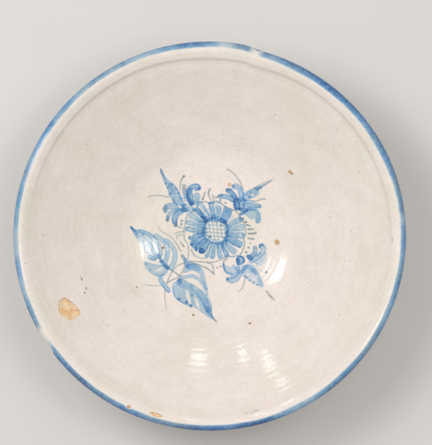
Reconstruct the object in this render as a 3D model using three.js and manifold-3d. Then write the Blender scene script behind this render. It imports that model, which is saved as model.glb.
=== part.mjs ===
// A thrown, tin-glazed earthenware bowl with a thickened lip, a painted edge and a luted foot ring.
// Millimetres, +Z up. The bowl stands on its foot, and the origin is the middle of the foot's resting plane.
import * as THREE from 'three';
import { mergeVertices } from 'three/addons/utils/BufferGeometryUtils.js';
import Module from 'manifold-3d';

// Overall sizes
const RIM_DIAMETER = 320;
const RIM_HEIGHT = 96;

// Floor, wall and foot, with slopes in degrees from level
const FLOOR_DIAMETER = 124;
const FLOOR_RISE = 6.5;
const FLOOR_SLOPE = 12.5;
const WELL_DIAMETER = 158;
const WELL_RISE = 13.5;
const WELL_SLOPE = 34;
const WALL_SLOPE = 45;
const WALL_THICKNESS = 7;
const FLOOR_THICKNESS = 8;
const FOOT_DIAMETER = 140;
const FOOT_HEIGHT = 9;
const FOOT_RING_WIDTH = 11;
const FOOT_FLARE = 1.5;
const FOOT_BEVEL = 1.5;
const HEEL_ROUND = 2;
const BASE_HOLLOW = 1.5;

// Lip: a flattened roll that stands a little proud of the wall
const LIP_WIDTH = 12.5;
const LIP_DEPTH = 7.5;
const LIP_BEAD = 2;
const LIP_EDGE_ROUND = 4.2;
const LIP_UNDERCUT = 5;
const UNDER_LIP_BULGE = 2;

// Slopes of the lip's face in degrees from level, and how far its underside and the foot lean in from plumb
const LIP_RISE_SLOPE = 80;
const LIP_SHOULDER_SLOPE = 43;
const UNDER_LIP_LEAN = 35;
const FOOT_TOP_LEAN = 10;

// Glaze coats, and the painted band from the lip's crest over its edge
const GLAZE_THICKNESS = 0.7;
const BOND_GAP = 0.3;
const BAND_DROP = 9;
const BARE_FOOT = 1.5;

// How far throwing, drying and firing pulled the bowl out of round, with directions in degrees
const OVAL_STRETCH = 0.8;
const OVAL_DIRECTION = 170;
const RIM_WAVE = 0.7;
const RIM_WAVE_DIRECTION = 30;
const FLAT_DEPTH = 2;
const FLAT_START = 12;
const FLAT_DEEPEST = 73;
const FLAT_END = 81;
const LIP_PULL = 2;
const LIP_PULL_DIRECTION = 84;
const LIP_PULL_SPREAD = 30;

// Chips out of the edge: how far each lies in from the rim and down from its top, and how large it is
const EDGE_CHIPS = [
  { direction: 214, inward: 0.6, down: 3.5, along: 17, across: 4.6, deep: 7 },
  { direction: 75, inward: 3, down: 1, along: 9, across: 4.5, deep: 3.5 },
  { direction: 254, inward: 6.6, down: 1, along: 13.5, across: 3, deep: 3.6 },
  { direction: 245, inward: 5.6, down: 0.6, along: 3.5, across: 2, deep: 3 },
];

// A scar on the wall where the glaze fell away, its outline seen from above, in tenths of its reach from its middle
const SCAR_DIRECTION = 207.5;
const SCAR_FROM_AXIS = 128;
const SCAR_REACH = 10;
const SCAR_OUTLINE = [
  [-4, 9], [0, 6], [5, 2], [8.5, -2.5], [7.5, -5.5], [2, -9.5], [-1.5, -9], [-6, -5.5], [-8.5, -2], [-8.5, 5],
  [-6.5, 8],
];

// Fineness of the model
const SECTIONS_ROUND = 72;
const STEPS = {
  floor: 3, bend: 2, wall: 5, shoulder: 2, crest: 2, edge: 3, underLip: 2, neck: 2, outerWall: 5, heel: 2,
};
const CURVE_FULLNESS = 0.36;
const CHIP_ROUNDING = 1;

const rimRadius = RIM_DIAMETER / 2;
const creaseRadius = rimRadius - LIP_WIDTH;
const floorRadius = FLOOR_DIAMETER / 2;
const wellRadius = WELL_DIAMETER / 2;
const footRadius = FOOT_DIAMETER / 2;
const floorTop = FOOT_HEIGHT + FLOOR_THICKNESS;
const clayDepth = GLAZE_THICKNESS + BOND_GAP;
const scarTenth = SCAR_REACH / 10;
const halfTurn = 180;
const plumbDown = -90;
const radians = THREE.MathUtils.degToRad;
const { smoothstep } = THREE.MathUtils;

const wasm = await Module();
wasm.setup();

// Profile helpers: a point's x is its distance from the axis and its y its height

function point(radius, height) {
  return new THREE.Vector2(radius, height);
}

// A point at a distance from another, square to a line of the given slope, on the side of the clay
function beside(start, slope, distance) {
  return point(start.x + distance * Math.sin(radians(slope)), start.y - distance * Math.cos(radians(slope)));
}

// A smooth curve that leaves one point and reaches the next at given slopes
function curve(start, end, leaveSlope, reachSlope, steps) {
  const reach = start.distanceTo(end) * CURVE_FULLNESS;
  const leave = point(reach, 0).rotateAround(point(0, 0), radians(leaveSlope));
  const arrive = point(reach, 0).rotateAround(point(0, 0), radians(reachSlope));
  const bend = new THREE.CubicBezierCurve(start, start.clone().add(leave), end.clone().sub(arrive), end);
  return bend.getPoints(steps);
}

// Curves that follow each other, as one line without doubled points
function joined(...lines) {
  return lines.flatMap((line, index) => (index === 0 ? line : line.slice(1)));
}

// The same line moved into the clay, square to itself, with its points on the axis kept there
function sunk(line, depth) {
  return line.map((place, index) => {
    const before = line[Math.max(index - 1, 0)];
    const after = line[Math.min(index + 1, line.length - 1)];
    const run = after.clone().sub(before).normalize();
    if (place.x === 0) return point(0, place.y - depth);
    return point(place.x + run.y * depth, place.y - run.x * depth);
  });
}

// The same line with its ends drawn back
function shortened(line, atStart, atEnd) {
  const points = line.map((place) => place.clone());
  const last = points.length - 1;
  points[0].lerp(points[1], atStart / points[0].distanceTo(points[1]));
  points[last].lerp(points[last - 1], atEnd / points[last].distanceTo(points[last - 1]));
  return points;
}

// How far out the foot's finished side stands at a height
function footSide(height) {
  return footRadius + (FOOT_FLARE * height) / FOOT_HEIGHT;
}

// The finished surface in three stretches: inside the bowl, over the lip's edge, and down the outside
function surfaceLines() {
  const floorEdge = point(floorRadius, floorTop + FLOOR_RISE);
  const wellEdge = point(wellRadius, floorTop + WELL_RISE);
  const crease = point(creaseRadius, RIM_HEIGHT - LIP_DEPTH);
  const shoulder = point(creaseRadius + LIP_BEAD, RIM_HEIGHT - LIP_DEPTH / 2);
  const crest = point(rimRadius - LIP_EDGE_ROUND, RIM_HEIGHT);
  const edge = point(rimRadius, RIM_HEIGHT - LIP_EDGE_ROUND);
  const neckHeight = crease.y - LIP_UNDERCUT;
  const neckInside = point(creaseRadius - LIP_UNDERCUT / Math.tan(radians(WALL_SLOPE)), neckHeight);
  const neck = beside(neckInside, WALL_SLOPE, WALL_THICKNESS);
  const bandEnd = point((edge.x + neck.x) / 2 + UNDER_LIP_BULGE, RIM_HEIGHT - BAND_DROP);
  const heel = beside(wellEdge, WELL_SLOPE, WALL_THICKNESS);
  const footTop = point(footSide(FOOT_HEIGHT + HEEL_ROUND), FOOT_HEIGHT + HEEL_ROUND);
  const footEnd = point(footSide(BARE_FOOT), BARE_FOOT);
  const underLip = plumbDown - UNDER_LIP_LEAN;
  const downWall = WALL_SLOPE - halfTurn;
  const downWell = WELL_SLOPE - halfTurn;

  const inside = joined(
    curve(point(0, floorTop), floorEdge, 0, FLOOR_SLOPE, STEPS.floor),
    curve(floorEdge, wellEdge, FLOOR_SLOPE, WELL_SLOPE, STEPS.bend),
    curve(wellEdge, crease, WELL_SLOPE, WALL_SLOPE, STEPS.wall),
    curve(crease, shoulder, LIP_RISE_SLOPE, LIP_SHOULDER_SLOPE, STEPS.shoulder),
    curve(shoulder, crest, LIP_SHOULDER_SLOPE, 0, STEPS.crest),
  );
  const over = joined(
    curve(crest, edge, 0, plumbDown, STEPS.edge),
    curve(edge, bandEnd, plumbDown, underLip, STEPS.underLip),
  );
  const outside = joined(
    curve(bandEnd, neck, underLip, downWall, STEPS.neck),
    curve(neck, heel, downWall, downWell, STEPS.outerWall),
    curve(heel, footTop, downWell, plumbDown - FOOT_TOP_LEAN, STEPS.heel),
    [footTop, footEnd],
  );
  return { inside, over, outside };
}

// Solids of revolution, pulled out of round

function bump(angle, middle, spread) {
  const away = Math.abs(THREE.MathUtils.euclideanModulo(angle - middle + halfTurn, 2 * halfTurn) - halfTurn);
  return 1 - smoothstep(away, 0, spread);
}

function pulledOutOfRound(geometry) {
  const place = new THREE.Vector3();
  const { position } = geometry.attributes;
  for (let i = 0; i < position.count; i += 1) {
    place.fromBufferAttribute(position, i);
    const radius = Math.hypot(place.x, place.y);
    const turn = THREE.MathUtils.radToDeg(Math.atan2(place.y, place.x));
    const angle = THREE.MathUtils.euclideanModulo(turn, 2 * halfTurn);
    const share = smoothstep(place.z, FOOT_HEIGHT, RIM_HEIGHT) * Math.min(radius / wellRadius, 1);
    const oval = OVAL_STRETCH * Math.cos(2 * radians(angle - OVAL_DIRECTION));
    const flat = FLAT_DEPTH * smoothstep(angle, FLAT_START, FLAT_DEEPEST)
      * (1 - smoothstep(angle, FLAT_DEEPEST, FLAT_END));
    const pull = LIP_PULL * bump(angle, LIP_PULL_DIRECTION, LIP_PULL_SPREAD)
      * (1 - smoothstep(radius, creaseRadius, rimRadius));
    const wave = RIM_WAVE * Math.cos(2 * radians(angle - RIM_WAVE_DIRECTION));
    const scale = radius > 0 ? 1 + (share * (oval - flat - pull)) / radius : 1;
    position.setXYZ(i, place.x * scale, place.y * scale, place.z + share * wave);
  }
  return geometry;
}

// One closed skin: corners that share a place are merged, and triangles without area dropped
function welded(geometry) {
  geometry.deleteAttribute('normal');
  geometry.deleteAttribute('uv');
  const merged = mergeVertices(geometry);
  const corners = merged.index.array;
  const kept = [];
  for (let i = 0; i < corners.length; i += 3) {
    const [a, b, c] = [corners[i], corners[i + 1], corners[i + 2]];
    if (a !== b && b !== c && c !== a) kept.push(a, b, c);
  }
  merged.setIndex(kept);
  return merged;
}

function turned(profile) {
  const geometry = welded(new THREE.LatheGeometry(profile, SECTIONS_ROUND));
  geometry.rotateX(Math.PI / 2);
  return pulledOutOfRound(geometry);
}

// A coat of glaze over a stretch of the surface, with a joint where it meets the next coat
function coatProfile(first, last) {
  const atStart = first === 0 ? 0 : BOND_GAP / 2;
  const atEnd = last === surface.length - 1 ? 0 : BOND_GAP / 2;
  const outer = shortened(surface.slice(first, last + 1), atStart, atEnd);
  const under = shortened(glazeUnderside.slice(first, last + 1), atStart, atEnd).reverse();
  const close = first === 0 ? [] : [outer[0]];
  return [...outer, ...under, ...close].reverse();
}

// Cutting

function solidOf(geometry) {
  const mesh = new wasm.Mesh({
    numProp: 3,
    vertProperties: new Float32Array(geometry.attributes.position.array),
    triVerts: new Uint32Array(geometry.index.array),
  });
  return new wasm.Manifold(mesh);
}

function geometryOf(solid) {
  const { vertProperties, triVerts } = solid.getMesh();
  const geometry = new THREE.BufferGeometry();
  geometry.setAttribute('position', new THREE.BufferAttribute(vertProperties, 3));
  geometry.setIndex(new THREE.BufferAttribute(triVerts, 1));
  return geometry;
}

function without(geometry, cutters) {
  const rest = cutters.reduce((solid, cutter) => solid.subtract(solidOf(cutter)), solidOf(geometry));
  return geometryOf(rest);
}

function chipCutter({ direction, inward, down, along, across, deep }) {
  const shape = welded(new THREE.IcosahedronGeometry(1, CHIP_ROUNDING));
  shape.scale(across / 2, along / 2, deep / 2);
  shape.translate(rimRadius - inward, 0, RIM_HEIGHT - down);
  return shape.rotateZ(radians(direction));
}

function scarCutter() {
  const outline = new THREE.Shape(SCAR_OUTLINE.map(([x, y]) => point(x, y).multiplyScalar(scarTenth)));
  const shape = welded(new THREE.ExtrudeGeometry(outline, { depth: RIM_HEIGHT, bevelEnabled: false }));
  const middle = point(SCAR_FROM_AXIS, 0).rotateAround(point(0, 0), radians(SCAR_DIRECTION));
  return shape.translate(middle.x, middle.y, 0);
}

// Pieces

const { inside, over, outside } = surfaceLines();
const surface = joined(inside, over, outside);
const glazeUnderside = sunk(surface, GLAZE_THICKNESS);
const crestIndex = inside.length - 1;
const bandEndIndex = crestIndex + over.length - 1;
const chips = EDGE_CHIPS.map(chipCutter);

function clayBody() {
  const clayLine = sunk(surface, clayDepth).slice(0, -1);
  const base = [
    point(footSide(FOOT_HEIGHT) - clayDepth, FOOT_HEIGHT),
    point(footRadius - FOOT_RING_WIDTH - FOOT_FLARE, FOOT_HEIGHT),
    point(0, FOOT_HEIGHT + BASE_HOLLOW),
  ];
  return without(turned([...clayLine, ...base].reverse()), chips);
}

function footRing() {
  const inner = footRadius - FOOT_RING_WIDTH;
  const profile = [
    point(footSide(FOOT_HEIGHT) - clayDepth, FOOT_HEIGHT),
    point(footSide(FOOT_BEVEL) - clayDepth, FOOT_BEVEL),
    point(footSide(0) - clayDepth - FOOT_BEVEL, 0),
    point(inner + FOOT_BEVEL, 0),
    point(inner, FOOT_BEVEL),
    point(inner - FOOT_FLARE, FOOT_HEIGHT),
  ];
  return turned([...profile, profile[0]].reverse());
}

function innerGlaze() {
  return without(turned(coatProfile(0, crestIndex)), [...chips, scarCutter()]);
}

function rimBand() {
  return without(turned(coatProfile(crestIndex, bandEndIndex)), chips);
}

function outerGlaze() {
  return turned(coatProfile(bandEndIndex, surface.length - 1));
}

const clay = { color: 0xc39a6c, roughness: 0.9, metalness: 0 };
const footClay = { color: 0xb98f63, roughness: 0.92, metalness: 0 };
const tinGlaze = { color: 0xe9dfd4, roughness: 0.22, metalness: 0 };
const outerTinGlaze = { color: 0xe6dccf, roughness: 0.26, metalness: 0 };
const cobaltGlaze = { color: 0x5f8fb8, roughness: 0.25, metalness: 0 };

function piece(name, geometry, finish) {
  const mesh = new THREE.Mesh(geometry, new THREE.MeshStandardMaterial(finish));
  mesh.name = name;
  return mesh;
}

const bowl = new THREE.Group();
bowl.add(
  piece('clay_body', clayBody(), clay),
  piece('foot_ring', footRing(), footClay),
  piece('inner_glaze', innerGlaze(), tinGlaze),
  piece('outer_glaze', outerGlaze(), outerTinGlaze),
  piece('rim_band', rimBand(), cobaltGlaze),
);

export default bowl;
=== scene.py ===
"""A thrown, tin-glazed earthenware bowl with a flower painted in blue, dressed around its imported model.

The bowl stands on its foot at the origin, +Z up, with the top of the painted flower towards +Y. Lengths
are in metres, written as millimetres times MM, and directions are in degrees, counted from +X towards +Y.
Places that were read off the photograph are pixels of its 432 by 445 frame. PhotoView carries them onto the
bowl.
"""

import logging
import math
from collections.abc import Iterable, Sequence
from dataclasses import dataclass, field, replace
from enum import Enum
from functools import lru_cache

import bpy
import bmesh
import numpy as np
from mathutils import Matrix, Vector, noise


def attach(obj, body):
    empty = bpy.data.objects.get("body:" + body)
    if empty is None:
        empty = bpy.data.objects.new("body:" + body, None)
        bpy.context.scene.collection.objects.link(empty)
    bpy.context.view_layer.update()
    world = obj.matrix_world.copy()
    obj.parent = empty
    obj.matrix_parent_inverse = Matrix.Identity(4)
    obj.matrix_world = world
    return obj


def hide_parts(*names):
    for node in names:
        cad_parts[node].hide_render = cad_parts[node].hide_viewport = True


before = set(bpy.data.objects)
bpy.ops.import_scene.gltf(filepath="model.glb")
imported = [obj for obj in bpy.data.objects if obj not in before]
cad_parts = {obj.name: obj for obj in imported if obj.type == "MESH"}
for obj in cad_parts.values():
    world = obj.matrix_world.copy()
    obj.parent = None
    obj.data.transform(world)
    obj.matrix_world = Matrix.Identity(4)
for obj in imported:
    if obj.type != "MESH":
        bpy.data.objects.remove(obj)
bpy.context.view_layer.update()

MM = 0.001
FULL_TURN = 2 * math.pi
log = logging.getLogger("bowl")

Place = tuple[float, float]
Tone = tuple[float, float, float]
Array = np.ndarray
Socket = bpy.types.NodeSocket
Solid = bpy.types.Object


def smoothstep(values: Array | float, low: float, high: float) -> Array | float:
    """An S-shaped step from 0 at low to 1 at high."""
    share = np.clip((np.asarray(values, float) - low) / (high - low), 0.0, 1.0)
    return share * share * (3.0 - 2.0 * share)


def radius_of(places: Array) -> Array:
    """How far places lie from the bowl's axis."""
    return np.hypot(places[:, 0], places[:, 1])


def angle_between(directions: Array, direction: float) -> Array:
    """How far directions lie from one direction, in degrees, from 0 to 180."""
    return np.abs((directions - direction + 180.0) % 360.0 - 180.0)


def srgb(red: float, green: float, blue: float) -> tuple[float, float, float, float]:
    """A colour given as a screen shows it, 0 to 255, as the linear colour that a shader takes.

    Args:
        red: The red share.
        green: The green share.
        blue: The blue share.

    Returns:
        The linear colour with an alpha of 1.
    """
    shares = np.array([red, green, blue]) / 255.0
    linear = np.where(shares <= 0.04045, shares / 12.92, ((shares + 0.055) / 1.055) ** 2.4)
    return (*linear.tolist(), 1.0)


# The bowl's form


@dataclass(frozen=True)
class BowlForm:
    """The thrown shape: its finished surface in section, and how it was pulled out of round."""

    rim_radius: float = 160 * MM
    rim_height: float = 96 * MM
    floor_radius: float = 62 * MM
    floor_rise: float = 6.5 * MM
    floor_slope: float = 12.5
    well_radius: float = 79 * MM
    well_rise: float = 13.5 * MM
    well_slope: float = 34
    wall_slope: float = 45
    wall_thickness: float = 7 * MM
    floor_thickness: float = 8 * MM
    foot_radius: float = 70 * MM
    foot_height: float = 9 * MM
    foot_ring_width: float = 11 * MM
    foot_flare: float = 1.5 * MM
    foot_bevel: float = 1.5 * MM
    heel_round: float = 2 * MM
    base_hollow: float = 1.5 * MM
    lip_width: float = 12.5 * MM
    lip_depth: float = 7.5 * MM
    lip_bead: float = 2 * MM
    lip_edge_round: float = 4.2 * MM
    lip_undercut: float = 5 * MM
    under_lip_bulge: float = 2 * MM
    lip_rise_slope: float = 80
    lip_shoulder_slope: float = 43
    under_lip_lean: float = 35
    foot_top_lean: float = 10
    glaze_thickness: float = 0.7 * MM
    clay_depth: float = 1.0 * MM
    band_drop: float = 9 * MM
    bare_foot: float = 1.5 * MM
    oval_stretch: float = 0.8 * MM
    oval_direction: float = 170
    rim_wave: float = 0.7 * MM
    rim_wave_direction: float = 30
    flat_depth: float = 2 * MM
    flat_start: float = 12
    flat_deepest: float = 73
    flat_end: float = 81
    lip_pull: float = 2 * MM
    lip_pull_direction: float = 84
    lip_pull_spread: float = 30
    curve_fullness: float = 0.36

    @property
    def crease_radius(self) -> float:
        """Where the wall meets the lip, from the axis."""
        return self.rim_radius - self.lip_width

    @property
    def crest_radius(self) -> float:
        """The highest line of the lip, from the axis."""
        return self.rim_radius - self.lip_edge_round

    @property
    def floor_top(self) -> float:
        """Height of the glazed floor on the axis."""
        return self.foot_height + self.floor_thickness

    def foot_side(self, height: float) -> float:
        """How far out the foot's finished side stands at a height."""
        return self.foot_radius + self.foot_flare * height / self.foot_height

    def curve(self, start: Place, end: Place, leave: float, reach: float, step: float) -> Array:
        """A smooth curve between two points of the section.

        Args:
            start: The first point, as distance from the axis and height.
            end: The last point.
            leave: The slope at which the curve leaves its start, in degrees from level.
            reach: The slope at which it comes in at its end.
            step: About how far apart its points are.

        Returns:
            The points, one per row, with both ends.
        """
        first, last = np.array(start), np.array(end)
        distance = float(np.linalg.norm(last - first))
        handle = distance * self.curve_fullness
        out, back = math.radians(leave), math.radians(reach)
        second = first + handle * np.array([math.cos(out), math.sin(out)])
        third = last - handle * np.array([math.cos(back), math.sin(back)])
        share = np.linspace(0.0, 1.0, max(3, round(distance / step)) + 1)[:, None]
        rest = 1.0 - share
        leaving = rest**3 * first + 3 * rest**2 * share * second
        return leaving + 3 * rest * share**2 * third + share**3 * last

    def beside(self, place: Place, slope: float, distance: float) -> Place:
        """A point square to a line of the given slope, on the side of the clay."""
        turn = math.radians(slope)
        return place[0] + distance * math.sin(turn), place[1] - distance * math.cos(turn)

    def inside_line(self, step: float, lip_step: float) -> Array:
        """The finished surface from the middle of the floor to the crest of the lip."""
        floor_edge = (self.floor_radius, self.floor_top + self.floor_rise)
        well_edge = self.well_edge
        crease = (self.crease_radius, self.rim_height - self.lip_depth)
        shoulder = (self.crease_radius + self.lip_bead, self.rim_height - self.lip_depth / 2)
        crest = (self.crest_radius, self.rim_height)
        return joined(
            self.curve((0.0, self.floor_top), floor_edge, 0, self.floor_slope, step),
            self.curve(floor_edge, well_edge, self.floor_slope, self.well_slope, step),
            self.curve(well_edge, crease, self.well_slope, self.wall_slope, step),
            self.curve(crease, shoulder, self.lip_rise_slope, self.lip_shoulder_slope, lip_step),
            self.curve(shoulder, crest, self.lip_shoulder_slope, 0, lip_step),
        )

    @property
    def well_edge(self) -> Place:
        """Where the well turns up into the wall."""
        return self.well_radius, self.floor_top + self.well_rise

    @property
    def neck(self) -> Place:
        """Where the lip's underside meets the outer wall."""
        height = self.rim_height - self.lip_depth - self.lip_undercut
        inner = self.crease_radius - self.lip_undercut / math.tan(math.radians(self.wall_slope))
        return self.beside((inner, height), self.wall_slope, self.wall_thickness)

    @property
    def band_end(self) -> Place:
        """The lower edge of the painted band, under the lip."""
        middle = (self.rim_radius + self.neck[0]) / 2
        return middle + self.under_lip_bulge, self.rim_height - self.band_drop

    def edge_line(self, step: float) -> Array:
        """The finished surface from the lip's crest over its edge to the end of the painted band."""
        crest = (self.crest_radius, self.rim_height)
        edge = (self.rim_radius, self.rim_height - self.lip_edge_round)
        return joined(
            self.curve(crest, edge, 0, -90, step),
            self.curve(edge, self.band_end, -90, -90 - self.under_lip_lean, step),
        )

    def outside_line(self, step: float) -> Array:
        """The finished surface from the painted band down to the bare edge of the foot."""
        heel = self.beside(self.well_edge, self.well_slope, self.wall_thickness)
        top = self.foot_height + self.heel_round
        foot_top = (self.foot_side(top), top)
        foot_end = (self.foot_side(self.bare_foot), self.bare_foot)
        down_wall, down_well = self.wall_slope - 180, self.well_slope - 180
        lean = -90 - self.foot_top_lean
        return joined(
            self.curve(self.band_end, self.neck, -90 - self.under_lip_lean, down_wall, step / 2),
            self.curve(self.neck, heel, down_wall, down_well, step),
            self.curve(heel, foot_top, down_well, lean, step / 2),
            self.curve(foot_top, foot_end, lean, lean, step),
        )

    def height_at(self, radii: Array) -> Array:
        """Height of the finished inside at distances from the axis, before it is pulled out of round."""
        return np.interp(radii, *self._inside_lookup())

    @lru_cache(maxsize=1)
    def _inside_lookup(self) -> tuple[Array, Array]:
        """The inside line, fine enough to read heights from."""
        line = self.inside_line(0.4 * MM, 0.2 * MM)
        return line[:, 0], line[:, 1]

    def pull_out_of_round(self, places: Array) -> Array:
        """Places on the round form, moved as throwing, drying and firing moved the clay.

        Args:
            places: Points of the round form, one per row.

        Returns:
            The points of the real, slightly uneven bowl.
        """
        x, y, z = places.T
        radius = np.hypot(x, y)
        direction = np.degrees(np.arctan2(y, x)) % 360.0
        share = smoothstep(z, self.foot_height, self.rim_height)
        share = share * np.minimum(radius / self.well_radius, 1.0)
        oval = self.oval_stretch * np.cos(2 * np.radians(direction - self.oval_direction))
        flat = self.flat_depth * smoothstep(direction, self.flat_start, self.flat_deepest)
        flat = flat * (1.0 - smoothstep(direction, self.flat_deepest, self.flat_end))
        off_pull = angle_between(direction, self.lip_pull_direction)
        near_pull = 1.0 - smoothstep(off_pull, 0.0, self.lip_pull_spread)
        pull = self.lip_pull * near_pull * (1.0 - smoothstep(radius, self.crease_radius, self.rim_radius))
        wave = self.rim_wave * np.cos(2 * np.radians(direction - self.rim_wave_direction))
        safe = np.where(radius > 0.0, radius, 1.0)
        scale = np.where(radius > 0.0, 1.0 + share * (oval - flat - pull) / safe, 1.0)
        return np.column_stack([x * scale, y * scale, z + share * wave])


def joined(*lines: Array) -> Array:
    """Lines that follow each other, as one line without doubled points."""
    return np.concatenate([lines[0], *(line[1:] for line in lines[1:])])


def sunk(line: Array, depth: float) -> Array:
    """The same line moved into the clay, square to itself, with its points on the axis kept there.

    Args:
        line: Points of the section in order, as distance from the axis and height.
        depth: How far the line is moved.

    Returns:
        The moved points.
    """
    before = np.concatenate([line[:1], line[:-1]])
    after = np.concatenate([line[1:], line[-1:]])
    run = after - before
    run /= np.linalg.norm(run, axis=1, keepdims=True)
    moved = line + depth * np.column_stack([run[:, 1], -run[:, 0]])
    on_axis = line[:, 0] < 0.01 * MM
    moved[on_axis] = line[on_axis] - np.array([0.0, depth])
    return moved


# The photograph's viewpoint


@dataclass(frozen=True)
class PhotoView:
    """The photograph's viewpoint: nearly straight down into the bowl, a little from the right and front."""

    form: BowlForm
    width_px: float = 432
    height_px: float = 445
    rim_centre_px: Place = (209.1, 235.65)
    rim_radius_px: float = 195.7
    lean_right: float = 2.1
    lean_front: float = 1.7
    distance: float = 2.0
    sensor: float = 36 * MM

    @property
    def metres_per_px(self) -> float:
        """The size of a pixel at the height of the rim's edge."""
        return self.form.rim_radius / self.rim_radius_px

    @property
    def target(self) -> Array:
        """The point on the rim's plane that lies in the middle of the picture."""
        right = (self.width_px / 2 - self.rim_centre_px[0]) * self.metres_per_px
        up = (self.rim_centre_px[1] - self.height_px / 2) * self.metres_per_px
        return np.array([right, up, self.form.rim_height - self.form.lip_edge_round])

    @property
    def position(self) -> Array:
        """Where the camera stands."""
        right, front = math.radians(self.lean_right), math.radians(self.lean_front)
        back = np.array([math.tan(right), -math.tan(front), 1.0])
        return self.target + self.distance * back / np.linalg.norm(back)

    def axes(self) -> Array:
        """The camera's right, up and backward directions, as rows."""
        back = self.position - self.target
        back /= np.linalg.norm(back)
        right = np.cross(np.array([0.0, 1.0, 0.0]), back)
        right /= np.linalg.norm(right)
        return np.array([right, np.cross(back, right), back])

    def on_bowl(self, pixels: Iterable[Place]) -> Array:
        """The places on the inside of the bowl that pixels of the photograph show.

        Args:
            pixels: Pixels of the photograph, from its upper left corner.

        Returns:
            Points on the round form's glazed surface, one per row.
        """
        across = np.asarray(list(pixels), float)
        offset = (across - [self.width_px / 2, self.height_px / 2]) * self.metres_per_px
        right, up, back = self.axes()
        rays = np.outer(offset[:, 0], right) - np.outer(offset[:, 1], up) - self.distance * back
        height = np.full(len(rays), self.form.floor_top)
        for _ in range(30):
            reach = (height - self.position[2]) / rays[:, 2]
            places = self.position + rays * reach[:, None]
            height = self.form.height_at(radius_of(places))
        return places

    def make_camera(self) -> None:
        """Adds the camera and makes it the scene's own."""
        right, up, back = (Vector(axis) for axis in self.axes())
        bpy.ops.object.camera_add(location=Vector(self.position))
        camera = bpy.context.object
        camera.name = "photo_view"
        camera.rotation_euler = Matrix((right, up, back)).transposed().to_euler()
        seen_height = self.height_px * self.metres_per_px
        camera.data.sensor_width = self.sensor / MM
        camera.data.lens = self.sensor * self.distance / seen_height / MM
        camera.data.clip_start = 0.1
        camera.data.clip_end = 50.0
        bpy.context.scene.camera = camera


# The painted flower


class Touch(Enum):
    """How a brush touch swells and thins along its way, or that it fills a closed outline."""

    ROUND = "round"
    LEAF = "leaf"
    SWELLING = "swelling"
    THINNING = "thinning"
    FILLED = "filled"

    def width_along(self, share: Array) -> Array:
        """The touch's width at shares of its length, as a part of its full width."""
        if self is Touch.LEAF:
            return 0.15 + 0.85 * np.sin(np.pi * share) ** 0.7
        if self is Touch.SWELLING:
            return 0.18 + 0.82 * smoothstep(share, 0.0, 0.75)
        if self is Touch.THINNING:
            return 0.18 + 0.82 * smoothstep(1.0 - share, 0.0, 0.75)
        return np.ones_like(share)


@dataclass(frozen=True)
class Stroke:
    """One touch of the brush: its way and width in photo pixels, and how strong and how grey its blue is."""

    way: tuple[Place, ...]
    width: float
    start: float
    end: float
    grey: float = 0.0
    touch: Touch = Touch.ROUND

    def line(self, view: PhotoView) -> Array:
        """The middle of the touch, or its outline, as a smooth line on the bowl, seen from above."""
        points = view.on_bowl(self.way)[:, :2]
        if len(points) == 1:
            return np.vstack([points, points + [0.05 * MM, 0.0]])
        if self.touch is Touch.FILLED:
            points = np.vstack([points, points[:1]])
            padded = np.vstack([points[-2], points, points[1]])
        else:
            padded = np.vstack([2 * points[0] - points[1], points, 2 * points[-1] - points[-2]])
        share = np.linspace(0.0, 1.0, 7)[:-1, None]
        pieces = []
        for first, second, third, fourth in zip(padded, padded[1:], padded[2:], padded[3:]):
            pieces.append(0.5 * (
                2 * second + (third - first) * share
                + (2 * first - 5 * second + 4 * third - fourth) * share**2
                + (3 * second - first - 3 * third + fourth) * share**3
            ))
        return np.vstack([*pieces, points[-1:]])


def brush(width: float, start: float, end: float, *way: Place, grey: float = 0.0,
          touch: Touch = Touch.ROUND) -> Stroke:
    """A brush touch, given in the order in which a painter would call it.

    Args:
        width: How wide the touch is, in photo pixels.
        start: How strong the blue is where the brush is set down, 0 to 1.
        end: How strong it is where the brush is lifted.
        way: Photo pixels that the touch passes through.
        grey: How far the blue goes to grey, 0 to 1.
        touch: How the touch swells and thins.

    Returns:
        The stroke.
    """
    return Stroke(tuple(way), width, start, end, grey, touch)


def patch(start: float, end: float, *outline: Place, grey: float = 0.0) -> Stroke:
    """A filled wash.

    Args:
        start: How strong the blue is at the outline's first point.
        end: How strong it is half way round.
        outline: Photo pixels round the wash, in order.
        grey: How far the blue goes to grey, 0 to 1.

    Returns:
        The wash.
    """
    return Stroke(tuple(outline), 2.4, start, end, grey, Touch.FILLED)


def dab(width: float, strength: float, *way: Place, grey: float = 0.0) -> Stroke:
    """A brush touch that is as strong at its end as at its start."""
    return Stroke(tuple(way), width, strength, strength, grey)


def hair(width: float, start: float, end: float, *way: Place) -> Stroke:
    """A hair-thin grey line, such as a tendril or a stem, called as a brush touch is."""
    return Stroke(tuple(way), width, start, end, 0.8)


def dots(places: Sequence[Place], width: float, strength: float, grey: float = 0.0) -> list[Stroke]:
    """Dabs of the brush's tip at photo pixels."""
    return [dab(width, strength, place, grey=grey) for place in places]


def placed(corner: Place, strokes: Iterable[Stroke]) -> list[Stroke]:
    """Strokes whose ways are counted from a corner of their motif, put in their place on the photograph."""
    left, top = corner
    return [replace(stroke, way=tuple((left + x, top + y) for x, y in stroke.way)) for stroke in strokes]


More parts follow.
